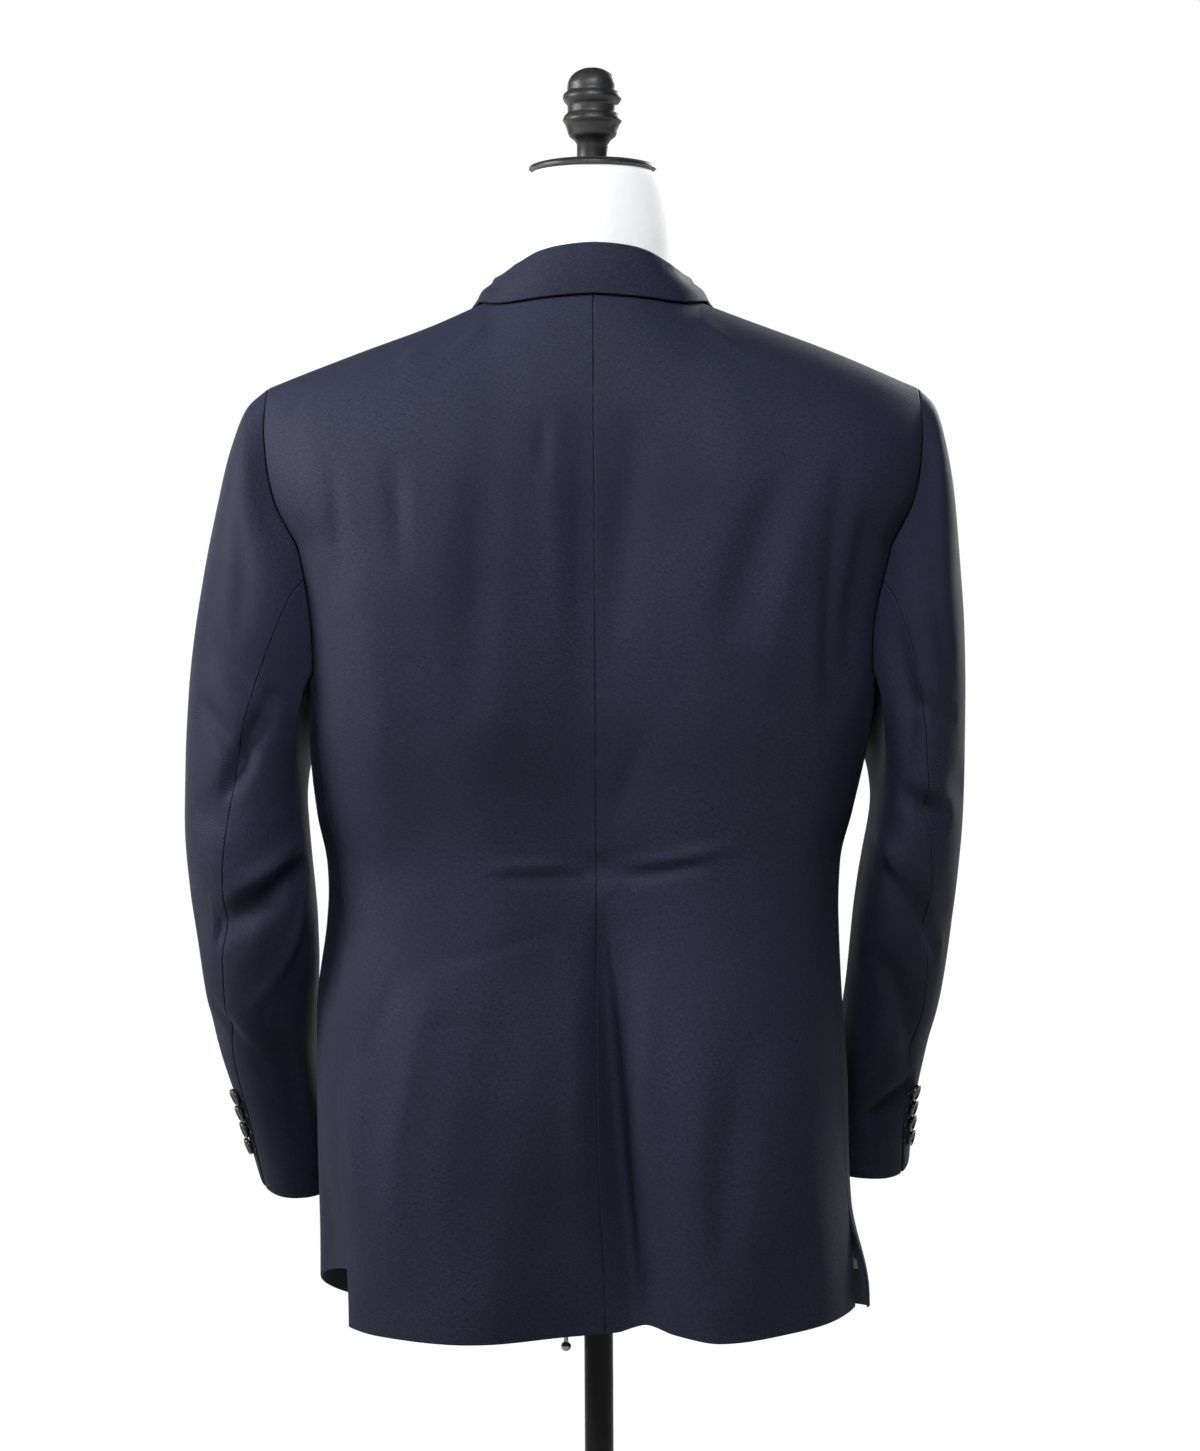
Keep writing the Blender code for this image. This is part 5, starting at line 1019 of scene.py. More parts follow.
# ================================================================== body panels
SEAM = {name: curve(SEAMS, SEAM_COLUMNS, "height", name) for name in SEAM_COLUMNS[1:]}
BACK_HEM_RISE = curve(BACK_HEM, HEM_COLUMNS, "turn", "rise")
EDGE_PAST_MIDDLE = curve(FRONT_EDGE, FRONT_EDGE_COLUMNS, "height", "past_middle")


def height_of(level):
    return CHEST_Z + np.minimum(level, 0) * (CHEST_Z - HEM_Z)


def half_gap(turn, level):
    """Half a seam's gap, in degrees of turn."""
    step = JACKET.point(turn + 0.5, level) - JACKET.point(turn - 0.5, level)
    return SEAM_GAP / 2 / np.linalg.norm(step, axis=-1)


def back_seam(side, level):
    low = SEAM["back_left" if side > 0 else "back_right"](height_of(level))
    return np.where(level > 0, BACK_ARM_TURN, low)


def front_seam(level):
    return np.where(level > 0, FRONT_ARM_TURN, SEAM["front"](height_of(level)))


def neck_turn(side):
    """The turn at which the back's shoulder seam meets the neck."""
    low, high = 0.0, BACK_ARM_TURN
    for _ in range(SOLVER_STEPS):
        middle = (low + high) / 2
        if abs(JACKET.point(side * middle, 1.0)[0]) > NECK_SEAM_X:
            high = middle
        else:
            low = middle
    return middle


def level_behind(turn, y):
    """The level above the chest line at which a column of the surface has come in to a y."""
    chest_y = JACKET.section(turn, np.full(np.shape(turn), CHEST_Z))[..., 1]
    lean = np.clip((y - RIDGE_Y) / (chest_y - RIDGE_Y), 0, 1)
    return np.arccos(lean ** (ARCH_POWER / 2)) / (math.pi / 2)


def neckline_y(share):
    """The neck seam's plan, from the middle of the back (0) to the shoulder seam (1)."""
    return RIDGE_Y + (BACK_NECK_Y - RIDGE_Y) * (1 - share**NECKLINE_POWER) ** (1 / NECKLINE_POWER)


def hem_lift(level, rise):
    """How much a place near the hem is lifted by the hem's own line."""
    return rise * ease((-level - 1 + HEM_RISE_SHARE) / HEM_RISE_SHARE)


def side_rise(side, around):
    fade = 1 - ease((around - BACK_ARM_TURN) / HEM_RISE_TURNS)
    return FRONT_HEM_RISE + (SIDE_HEM_RISE[side] - FRONT_HEM_RISE) * fade


def roll_x(height):
    """The roll line's distance from the middle, on its own side."""
    share = (height - ROLL_LOW[1]) / (ROLL_HIGH[1] - ROLL_LOW[1])
    return ROLL_LOW[0] + (ROLL_HIGH[0] - ROLL_LOW[0]) * np.clip(share, 0, 1)


def front_edge_turn(side, level):
    """Where each row of a front ends, found from the edge's own x at that row's height."""
    low, high = (np.full(np.shape(level), turn) for turn in EDGE_SEARCH)
    for _ in range(EDGE_SEARCH_STEPS):
        middle = (low + high) / 2
        point = JACKET.point(side * middle, level)
        lift = hem_lift(level, side_rise(side, middle))
        height = point[..., 2] + lift
        edge = np.where(height < BUTTON_Z, -EDGE_PAST_MIDDLE(height), roll_x(height))
        inside = side * point[..., 0] > edge
        low = np.where(inside, middle, low)
        high = np.where(inside, high, middle)
    return (low + high) / 2


def overlap_out(side, x):
    """How far the left front stands off the surface where it lies over the right one."""
    rise = ease((OVERLAP_FROM_X - x) / (OVERLAP_FROM_X - OVERLAP_TO_X))
    return LEFT_OVER_RIGHT * rise if side > 0 else 0.0 * rise


def rows_of(top=1.0):
    """Levels for a panel's rows, closer together at the hem."""
    low = -1 + edged(ROWS_LOW, HEM_SHARE)[: -len(EDGE_LINES) - 1]
    low = low[low < -0.004]
    high = edged(ROWS_HIGH, TOP_SHARE)[len(EDGE_LINES) + 1:]
    return np.concatenate([low, [0.0], high * top])


def back_panel(side):
    neck = neck_turn(side)
    neck_share = neck / BACK_ARM_TURN
    shares = edged(BACK_COLUMNS, SEAM_SHARE)
    shares = np.sort(np.append(shares, neck_share))
    top_y = neckline_y(np.clip(shares / neck_share, 0, 1))
    top = level_behind(side * shares * BACK_ARM_TURN, np.maximum(top_y, RIDGE_Y + SEAM_GAP / 2))
    rows = rows_of()
    level = rows[:, None] * np.where(rows[:, None] > 0, top[None, :], 1.0)
    last = back_seam(side, level)
    first_gap = half_gap(0.0 * level, level)
    last_gap = half_gap(side * last, level)
    turn = side * (first_gap + shares[None, :] * (last - first_gap - last_gap))
    points = coat_point(turn, level) + raised(hem_lift(level, BACK_HEM_RISE(turn)))
    name = f"back_{SIDE_NAMES[side]}"
    return shell(name + "_cloth", points, BACKWARD, (WOOL, LINING), [name])


def side_body(side):
    rows = rows_of()
    rows = rows[rows <= 0]
    shares = edged(SIDE_COLUMNS, SEAM_SHARE * 2)
    level = rows[:, None] + 0 * shares[None, :]
    height = height_of(level)
    first, last = back_seam(side, level), front_seam(level)
    vent = ease((VENT_TOP_Z - height) / VENT_STEP + 0.5)
    first = first + half_gap(side * first, level) - VENT_LAP_TURN[side] * vent
    last = last - half_gap(side * last, level)
    around = first + shares[None, :] * (last - first)
    sunk = ease((VENT_TOP_Z + VENT_SUNK_ABOVE + VENT_FADE - height) / VENT_FADE)
    sunk = sunk * ease(1 - (around - first) / SUNK_TURNS) * (VENT_LAP_TURN[side] > 0)
    flare = ease((FLARE_TOP_Z - height) / FLARE_HIGH) * ease(1 - (around - first) / FLARE_TURNS)
    out = -(WALL + LAY_GAP) * sunk + FLARE * flare * (side < 0)
    lift = hem_lift(level, side_rise(side, around))
    points = coat_point(side * around, level, out) + raised(lift)
    name = f"side_{SIDE_NAMES[side]}"
    return shell(name + "_cloth", points, np.array([side, 0, 0]), (WOOL, LINING), [name])


def front_panel(side):
    top = level_behind(np.array([side * FRONT_ARM_TURN]), RIDGE_Y - SEAM_GAP / 2)[0]
    levels = rows_of(top)
    share = edged(FRONT_COLUMNS, SEAM_SHARE)[None, :]
    level = levels[:, None] + 0 * share
    first = front_seam(level)
    first = first + half_gap(side * first, level)
    last = front_edge_turn(side, levels)[:, None]
    around = first + share * (last - first)
    out = overlap_out(side, JACKET.point(side * around, level)[..., 0])
    lift = hem_lift(level, side_rise(side, around))
    points = coat_point(side * around, level, out) + raised(lift)
    name = f"front_{SIDE_NAMES[side]}"
    return shell(name + "_cloth", points, FORWARD, (WOOL, LINING), [name])


# ================================================================== what lies on the fronts
def roll_point(along, across):
    """A place on a front as x on its own side and height: along the roll line, and off it."""
    run = np.subtract(ROLL_HIGH, ROLL_LOW)
    off = np.array([run[1], -run[0]]) / np.hypot(*run)
    return (
        ROLL_LOW[0] + along * run[0] + across * off[0],
        ROLL_LOW[1] + along * run[1] + across * off[1],
    )


def on_front(x, z, out):
    """Places over a front panel, from x, height and stand-off."""
    return coat_point(*place(x, z, 2, False), out)


def lapel(side):
    width = curve(LAPEL_EDGE, LAPEL_COLUMNS, "along", "width")
    share = np.sort(np.append(edged(LAPEL_ACROSS, SEAM_SHARE * 2), LAPEL_TOP[1][0]))
    top = np.interp(share, *np.transpose(LAPEL_TOP))
    start = LAPEL_START[side]
    along = start + (top - start)[None, :] * edged(LAPEL_ROWS, SEAM_SHARE)[:, None]
    across = share[None, :] * width(along)
    x, z = roll_point(along, across)
    if side < 0:  # the left front's own edge covers what lies past it
        inner = np.maximum(x[:, :1], LAPEL_CLEAR - roll_x(z[:, :1]))
        x = inner + share[None, :] * (x[:, -1:] - inner)
    roll = LAPEL_ROLL * (1 - share) ** 2 + LAPEL_LIFT + LAPEL_PEAK_LIFT * share**2
    out = LAY_GAP + roll[None, :] + overlap_out(side, side * x) + WALL
    name = f"lapel_{SIDE_NAMES[side]}"
    points = on_front(side * x, z, out)
    facing = shell(name + "_facing", points, FORWARD, (SATIN,), [name])
    return facing, points


def strip(name, side, x, z, wide, high, tilt, thick, look):
    """A straight band over one front, such as a pocket's jet."""
    across = (edged(STRIP_COLUMNS, SEAM_SHARE)[None, :] - 0.5) * wide
    up = (edged(STRIP_ROWS, SEAM_SHARE * 12)[:, None] - 0.5) * high
    points = on_front(side * (x + across + 0 * up), z + up - tilt * across, STRIP_GAP + thick)
    return shell(name + "_cloth", points, FORWARD, (look,), [name], thick, thick / 2)


def pockets():
    for side in SIDE_NAMES:
        for level, word in ((1, "upper"), (-1, "lower")):
            z = POCKET_Z + level * (JET_HIGH + SEAM_GAP * 2) / 2
            name = f"pocket_jet_{word}_{SIDE_NAMES[side]}"
            jet = strip(name, side, POCKET_X, z, POCKET_WIDE, JET_HIGH, POCKET_TILT, JET_THICK,
                        SATIN)
    welt = strip("breast_welt", 1, WELT_X, WELT_Z, WELT_WIDE, WELT_HIGH, -WELT_TILT, WALL, SATIN)


# ================================================================== collar
def neck_seam(along, side):
    """A place on the neck seam and the plan direction away from the neck there."""
    share = 1 + min(along, 0)
    angle = math.radians(90 * share**COLLAR_TURNING)
    if along <= 0:
        turn = np.array([side * share * neck_turn(side)])
        level = level_behind(turn, neckline_y(np.array([share])))
    else:
        x, z = roll_point(LAPEL_TOP[0][1] + GORGE_GAP, 0.0)
        gorge = on_front([side * x], [z], 0.0)[0]
        y = RIDGE_Y + (gorge[1] - RIDGE_Y) * along
        x = NECK_SEAM_X
        for _ in range(NECKLINE_STEPS):
            turn, level = place(np.array([side * x]), np.array([y]), 1, False)
            x = roll_x(JACKET.point(turn, level)[0, 2])
    lifted = coat_point(turn, level, np.array([COLLAR_LIFT]))[0]
    return lifted, np.array([side * math.sin(angle), math.cos(angle), 0])


COLLAR_SIZE = {name: curve(COLLAR, COLLAR_COLUMNS, "along", name) for name in COLLAR_COLUMNS[1:]}


def collar_section(along, side):
    """The collar's middle line at one station, from the neck seam over the fold to its edge."""
    up = np.array([0, 0, 1.0])
    size = {name: read(along) for name, read in COLLAR_SIZE.items()}
    base, out = neck_seam(along, side)
    far = base + out * size["cover"]
    crest = base + up * size["stand"] + out * size["lean"]
    turn, level = place(far[:1], far[1:2], 1, bool(far[1] > RIDGE_Y))
    edge = coat_point(turn, level, np.array([COLLAR_LIFT]))[0]
    folds = [(-1.0, -1.0), (-0.7, -0.3), (0.0, 0.0), (0.7, -0.3), (1.0, -1.0)]
    fold = [crest + (out * a + up * b) * COLLAR_FOLD for a, b in folds]
    stand = (base + fold[0]) / 2
    belly = fold[-1] * (1 - BELLY_SHARE) + edge * BELLY_SHARE + out * BELLY_OUT + up * BELLY_UP
    return np.array([base, stand, *fold, belly, edge])


def smooth_line(points, count):
    """A smooth line through points, evenly spaced, with extra points close to both ends."""
    walked = walk(points)
    return splined(walked / walked[-1], points, edged(count, SEAM_SHARE * 3))


def collar():
    even = np.linspace(-1, 1, COLLAR_STATIONS)
    stations = np.sign(even) * np.abs(even) ** STATION_SPREAD
    route = [(along, 1) for along in stations[::-1]] + [(along, -1) for along in stations[1:]]
    few = np.array([smooth_line(collar_section(*station), COLLAR_ACROSS) for station in route])
    walked = np.linalg.norm(np.diff(few, axis=0), axis=-1).mean(axis=1)
    walked = np.concatenate([[0], np.cumsum(walked)]) / walked.sum()
    path = splined(walked, few, edged(COLLAR_GRID, SEAM_SHARE / 2))
    side = np.gradient(path, axis=0)
    across = unit(np.cross(np.gradient(path, axis=1), side))
    middle = across[len(path) // 2, -1]
    across = across * np.sign(middle[1])
    points = path + across * COLLAR_WALL / 2
    return shell("collar_cloth", points, across, (WOOL,), ["collar"], COLLAR_WALL)


# ================================================================== sleeves
def armhole(side):
    """The armhole's own corners, from the shoulder's tip down its back and up its front: how far
    round the sleeve each one is, and its point and the way out of the panel there."""
    back_top = level_behind(np.array([side * BACK_ARM_TURN]), RIDGE_Y + SEAM_GAP / 2)[0]
    front_top = level_behind(np.array([side * FRONT_ARM_TURN]), RIDGE_Y - SEAM_GAP / 2)[0]
    down, up = ARM_LEVELS[::-1] * back_top, ARM_LEVELS * front_top
    under = BACK_ARM_TURN + np.linspace(0, 1, 13) * (FRONT_ARM_TURN - BACK_ARM_TURN)
    around = np.concatenate([0 * down + BACK_ARM_TURN, under, 0 * up + FRONT_ARM_TURN])
    level = np.concatenate([down, 0 * under, up])
    point, normal = coat_point(side * around, level), JACKET.normal(side * around, level)
    away = unit(np.cross(normal, unit(np.gradient(point, axis=0))) * -side)
    away[[0, -1]] = unit(away[0] + away[-1])
    point[[0, -1], 0] += side * TIP_GAP
    walked = walk(point)
    low = walked[len(down) + len(under) // 2]
    back, front = walked / low * 180, 180 + (walked - low) / (walked[-1] - low) * 180
    return np.where(walked < low, back, front), point, away


class Sleeve:
    """A sleeve's surface: share runs down it, turn runs round it from its outer side backwards."""

    def __init__(self, side, rows):
        self.side = side
        steps = [(float(i),) + row for i, row in enumerate(rows)]
        columns = ("step",) + SLEEVE_COLUMNS
        self.size = {name: curve(steps, columns, "step", name) for name in SLEEVE_COLUMNS}
        self.steps = len(rows) - 1
        self.armhole = armhole(side)
        self.back, self.front = SLEEVE_BACK_TURN[0], SLEEVE_FRONT_TURN[0]

    def read_armhole(self, turn, values):
        round_it = self.armhole[0]
        return np.stack(
            [np.interp(np.mod(turn, 360), round_it, values[:, k]) for k in range(3)], -1
        )

    def ring(self, share, turn):
        at = {name: self.size[name](share * self.steps) for name in SLEEVE_COLUMNS}
        c, s = np.cos(np.radians(turn)), np.sin(np.radians(turn))
        across, deep = powered(c, SLEEVE_POWER), powered(s, SLEEVE_POWER)
        x = (at["outer_x"] + at["inner_x"]) / 2 + (at["outer_x"] - at["inner_x"]) / 2 * across
        y = (at["back_y"] + at["front_y"]) / 2 + (at["back_y"] - at["front_y"]) / 2 * deep
        sides = (at["outer_z"] + at["inner_z"]) / 2
        ends = (at["back_z"] + at["front_z"]) / 2
        z = (sides + ends) / 2 + (sides - ends) / 2 * np.cos(np.radians(2 * turn))
        z = z + (at["outer_z"] - at["inner_z"]) / 2 * across
        z = z + (at["back_z"] - at["front_z"]) / 2 * deep
        return np.stack([self.side * x, y, z], -1)

    def plain(self, share, turn):
        share, turn = np.broadcast_arrays(np.asarray(share, float), np.asarray(turn, float))
        _, point, away = self.armhole
        edge = self.read_armhole(turn, point) + self.read_armhole(turn, away) * ARMHOLE_GAP
        seat = (1 - ease(share / SEAT_SHARE))[..., None]
        return self.ring(share, turn) + (edge - self.ring(0 * share, turn)) * seat

    def normal(self, share, turn):
        share, turn = np.broadcast_arrays(np.asarray(share, float), np.asarray(turn, float))
        safe = np.clip(share, 0.004, 0.996)
        around = self.plain(safe, turn + 1.0) - self.plain(safe, turn - 1.0)
        down = self.plain(safe + 0.004, turn) - self.plain(safe - 0.004, turn)
        own = unit(np.cross(down, around) * self.side)
        away = self.read_armhole(turn, self.armhole[2])
        lead = np.maximum(np.sum(own * away, axis=-1), 0) * (1 - ease(share * self.steps))
        return unit(own - away * lead[..., None])

    def point(self, share, turn, out=0.0):
        plain, normal = self.plain(share, turn), self.normal(share, turn)
        depth = ripple(plain) * ease(share * 6)
        for row in SLEEVE_FOLDS:
            fold = dict(zip(SLEEVE_FOLD_COLUMNS, row))
            if fold["side"] != self.side:
                continue
            ends = ("from", "mid", "to")
            shares = np.array([fold[end + "_share"] for end in ends])
            turns = np.array([fold[end + "_turn"] for end in ends])
            line = fold_line(self.plain(shares, turns))
            facing = normal @ self.normal(shares[1], turns[1]) > FOLD_FACING
            depth = depth + fold["depth"] * facing * trough(plain, line, fold["half"])
        return plain + normal * (np.asarray(out) - depth)[..., None]

    def back_seam(self, share):
        return self.back + (SLEEVE_BACK_TURN[1] - self.back) * share**SEAM_WANDER

    def front_seam(self, share):
        return self.front + (SLEEVE_FRONT_TURN[1] - self.front) * share**SEAM_WANDER

    def half_gap(self, share, turn):
        step = self.plain(share, turn + 1) - self.plain(share, turn - 1)
        return SEAM_GAP / np.linalg.norm(step, axis=-1)

    def cuff_lap(self, name):
        """The strip behind the cuff's vent, which the top sleeve's edge closes over."""
        rows, columns = CUFF_LAP_GRID
        share = np.linspace(*CUFF_LAP_SHARES, rows)[:, None] + np.zeros((1, columns))
        turn = self.back_seam(share) + np.linspace(*CUFF_LAP_TURNS, columns)[None, :]
        return shell(name, self.point(share, turn, -WALL - CUFF_LAP_GAP), self.normal(share, turn),
                     (WOOL,), [], CUFF_LAP_WALL, CUFF_LAP_ROLL)

    def half(self, name, count, top):
        columns = edged(count, SEAM_SHARE)
        share = edged(SLEEVE_ROWS, HEM_SHARE)[:, None] + 0 * columns[None, :]
        back, front = self.back_seam(share), self.front_seam(share)
        notch = CUFF_NOTCH_TURN * ease((share - 1 + CUFF_VENT) / CUFF_VENT)
        back_gap, front_gap = self.half_gap(share, back), self.half_gap(share, front)
        if top:
            first, last = front - 360 + front_gap, back - back_gap - notch
        else:
            first, last = back + back_gap, front - front_gap
        turn = first + (last - first) * columns[None, :]
        return shell(name + "_cloth", self.point(share, turn), self.normal(share, turn),
                     (WOOL, LINING), [name])


# ================================================================== buttons and sewing
def facing(normal, spin=0.0):
    turn = Vector(normal).to_track_quat("Z", "Y").to_matrix().to_4x4()
    return turn @ Matrix.Rotation(spin, 4, "Z")


def button(name, cad_node, point, normal, radius, thick, spin):
    """A horn button: a rounded rim round a dished middle with four holes, and its thread."""
    share, rise = np.array(BUTTON_DISH).T
    angle = np.arange(BUTTON_TURNS) * 2 * math.pi / BUTTON_TURNS
    x = share[:, None] * np.cos(angle)[None, :] * radius
    y = share[:, None] * np.sin(angle)[None, :] * radius
    z = rise[:, None] * thick + 0 * x
    for corner in range(4):
        a = math.pi / 4 + corner * math.pi / 2
        off = np.hypot(x - math.cos(a) * HOLE_AT * radius, y - math.sin(a) * HOLE_AT * radius)
        dip = ease(1.6 - off / (HOLE_R * radius)) * (z > 0.3 * thick)
        z = z - dip * thick * HOLE_DEEP
    spot = np.arange(x.size).reshape(x.shape)
    faces = grid_faces(spot, np.roll(spot, -1, axis=1))
    body = new_mesh(name, np.stack([x, y, z], -1).reshape(-1, 3).tolist(), faces.tolist(), HORN)
    welded(body, True)
    at = HOLE_AT * radius * math.sqrt(0.5)
    top, sunk = THREAD_TOP * thick, THREAD_END * thick
    runs = []
    for low, high in (((-at, -at), (at, at)), ((-at, at), (at, -at))):
        for shift in (-THREAD_PAIR, THREAD_PAIR):
            across = np.array([high[1] - low[1], low[0] - high[0]])
            across = across / np.hypot(*across) * shift * HOLE_R * radius
            line = [(0.0, sunk)]
            line += [(t, top + THREAD_ARCH * thick * math.sin(math.pi * t) + THREAD_OFF)
                     for t in np.linspace(0.06, 0.94, 9)]
            line += [(1.0, sunk)]
            low_end, run = np.array(low) + across, np.subtract(high, low)
            runs.append(np.array([np.append(low_end + run * t, up) for t, up in line]))
    thread = tubes(name + "_thread", runs, THREAD_R * radius, 6)
    for mesh, nodes in ((body, [cad_node]), (thread, ())):
        mesh.transform(Matrix.Translation(Vector(point + normal * BUTTON_SHANK))
                       @ facing(normal, spin))
        put(mesh.name, mesh, nodes)


def tubes(name, lines, radius, sides=5):
    """One mesh of round threads along lines, tapered shut at both ends."""
    verts, faces = [], []
    for line in lines:
        line = np.asarray(line, float)
        ahead = unit(np.gradient(line, axis=0))
        helper = np.array([0, 0, 1.0]) if abs(ahead[:, 2]).mean() < 0.8 else np.array([1.0, 0, 0])
        side = unit(np.cross(ahead, helper))
        up = np.cross(side, ahead)
        size = np.full(len(line), radius)
        size[[0, -1]] = radius * 0.25
        start = len(verts)
        for i in range(len(line)):
            for k in range(sides):
                a = 2 * math.pi * k / sides
                verts.append(line[i] + (side[i] * math.cos(a) + up[i] * math.sin(a)) * size[i])
        for i in range(len(line) - 1):
            for k in range(sides):
                a, b = start + i * sides + k, start + i * sides + (k + 1) % sides
                faces.append((a, b, b + sides, a + sides))
        faces.append(tuple(start + k for k in range(sides))[::-1])
        faces.append(tuple(start + (len(line) - 1) * sides + k for k in range(sides)))
    return new_mesh(name, [tuple(v) for v in verts], faces, THREAD)


def stitches(name, line, normal):
    """A row of short stitches along a line, each sunk at its ends."""
    walked = walk(line)
    at = np.arange(STITCH_STEP / 2, walked[-1], STITCH_STEP)
    places = np.stack([np.interp(at, walked, line[:, k]) for k in range(3)], -1)
    ahead = unit(np.gradient(places, axis=0))
    normal = np.broadcast_to(normal, line.shape)
    shares = np.linspace(0, 1, len(places)), np.linspace(0, 1, len(normal))
    out = np.stack([np.interp(*shares, normal[:, k]) for k in range(3)], -1)
    t = np.linspace(-0.5, 0.5, 5)
    arch = np.cos(math.pi * t) * STITCH_R * 1.1
    runs = [place_at + t[:, None] * along * STITCH_LONG + arch[:, None] * up
            for place_at, along, up in zip(places, ahead, unit(out))]
    put(name, tubes(name, runs, STITCH_R))


def bar(centre, along, normal, long, step):
    """Places along a short bar of close stitches, and its unit directions: along, across, up."""
    along, normal = unit(along), unit(normal)
    count = int(long / step)
    places = [centre + along * (i / (count - 1) - 0.5) * long for i in range(count)]
    return places, along, unit(np.cross(normal, along)), normal


def buttonhole(name, centre, along, normal, long):
    """A worked buttonhole: a dark slot with a close row of stitches round it."""
    places, along, across, normal = bar(centre, along, normal, long, HOLE_STEP)
    turns = (np.arange(HOLE_END_STITCHES) - HOLE_END_STITCHES // 2) * math.pi / HOLE_END_STITCHES
    starts = [(at, across * side, HOLE_SIDE_STITCH) for side in (-1, 1) for at in places]
    starts += [
        (centre + along * end * long / 2, along * end * math.cos(a) + across * math.sin(a),
         HOLE_END_STITCH)
        for end in (-1, 1) for a in turns
    ]
    runs = [[at + out * far + normal * up for far, up in stitch] for at, out, stitch in starts]
    put(name, tubes(name, runs, HOLE_THREAD_R))


def bar_tack(name, centre, along, normal):
    """A short bar of close stitches."""
    places, _, across, normal = bar(centre, along, normal, TACK_LONG, TACK_STEP)
    runs = [[at - across * TACK_HALF, at + normal * TACK_RISE, at + across * TACK_HALF]
            for at in places]
    put(name, tubes(name, runs, TACK_THREAD_R))


# ================================================================== dress form and stand
def form_cover():
    """The form's jersey cover: the CAD torso's shape, made finer and smoothed."""
    source = bpy.data.objects["form_torso"]
    thing = bpy.data.objects.new("form_cover", source.data.copy())
    bpy.context.scene.collection.objects.link(thing)
    remesh = thing.modifiers.new("finer", "REMESH")
    remesh.mode = "VOXEL"
    remesh.voxel_size = COVER_VOXEL
    smooth = thing.modifiers.new("smoothed", "SMOOTH")
    smooth.factor = 0.5
    smooth.iterations = COVER_SMOOTHINGS
    depsgraph = bpy.context.evaluated_depsgraph_get()
    mesh = bpy.data.meshes.new_from_object(thing.evaluated_get(depsgraph))
    mesh.name = "form_cover"
    bpy.data.objects.remove(thing)
    mesh.materials.clear()
    mesh.materials.append(JERSEY)
    mesh.shade_smooth()
    put("form_cover", mesh, ["form_torso"])


def rounded(corners, radius, steps=5):
    """A profile whose inner corners are rounded."""
    corners = [np.array(corner, float) for corner in corners]
    path = [corners[0]]
    for before, corner, after in zip(corners, corners[1:], corners[2:]):
        one, two = before - corner, after - corner
        cut = min(radius, np.hypot(*one) * 0.45, np.hypot(*two) * 0.45)
        start, end = corner + unit(one) * cut, corner + unit(two) * cut
        for t in np.linspace(0, 1, steps):
            path.append((1 - t) ** 2 * start + 2 * t * (1 - t) * corner + t * t * end)
    path.append(corners[-1])
    return [tuple(float(v) for v in point) for point in path]


def smooth_profile(rows, count):
    """A turned profile's points joined by a smooth curve."""
    rows = np.array(rows, float)
    walked = walk(rows)
    table = [(w, *row) for w, row in zip(walked, rows)]
    at = np.linspace(0, walked[-1], count)
    return list(zip(*(curve(table, ("walked", "r", "z"), "walked", name)(at) for name in "rz")))


def form_parts():
    top = CAP_BOTTOM_Z + CAP_THICK
    shoulder, swell = CAP_BOTTOM_Z + CAP_RIM, CAP_THICK - CAP_RIM
    dome = [(CAP_R * math.sin(a), shoulder + swell * math.cos(a))
            for a in np.linspace(0, math.pi / 2, DOME_POINTS)]
    cap = dome + [(CAP_R, CAP_BOTTOM_Z + CAP_RIM / 3), (CAP_R - CAP_RIM / 2, CAP_BOTTOM_Z),
                  (0.0, CAP_BOTTOM_Z)]
    lathe("neck_cap_turned", cap, BLACK_WOOD, "form", ["neck_cap"])
    turned = [(0.0, FINIAL_TOP), (FINIAL_TIP[0], FINIAL_TOP - FINIAL_TIP[1]), *FINIAL]
    profile = smooth_profile(turned, FINIAL_POINTS) + [(FINIAL[-1][0], FACE_GAP), (0.0, FACE_GAP)]
    lathe("finial_turned", [(r, top + z) for r, z in profile], BLACK_WOOD, "form", ["finial"])
    bore = POLE_R + BORE_GAP
    high = FORM_BOTTOM_Z - FACE_GAP
    socket = ((bore, high), (SOCKET_R, high), (SOCKET_R, SOCKET_BOTTOM_Z),
              (bore, SOCKET_BOTTOM_Z), (bore, high))
    lathe("form_socket_turned", rounded(socket, SOCKET_EDGE), BLACK_PAINT, "form", ["form_socket"])
    pole = ((0.0, POLE_TOP_Z), (POLE_R, POLE_TOP_Z), (POLE_R, POLE_BOTTOM_Z), (0.0, POLE_BOTTOM_Z))
    lathe("pole_tube", rounded(pole, POLE_EDGE), BLACK_PAINT, "stand", ["pole"])
    base = (
        (0.0, HUB_FLOOR_Z), (POLE_R + FACE_GAP, HUB_FLOOR_Z), (POLE_R + FACE_GAP, HUB_TOP_Z),
        (HUB_R, HUB_TOP_Z), (HUB_R, BASE_THICK), (BASE_R, BASE_THICK), (BASE_R, 0.0), (0.0, 0.0),
    )
    lathe("base_plate_turned", rounded(base, BASE_EDGE), BLACK_PAINT, "stand", ["base_plate"], 144)


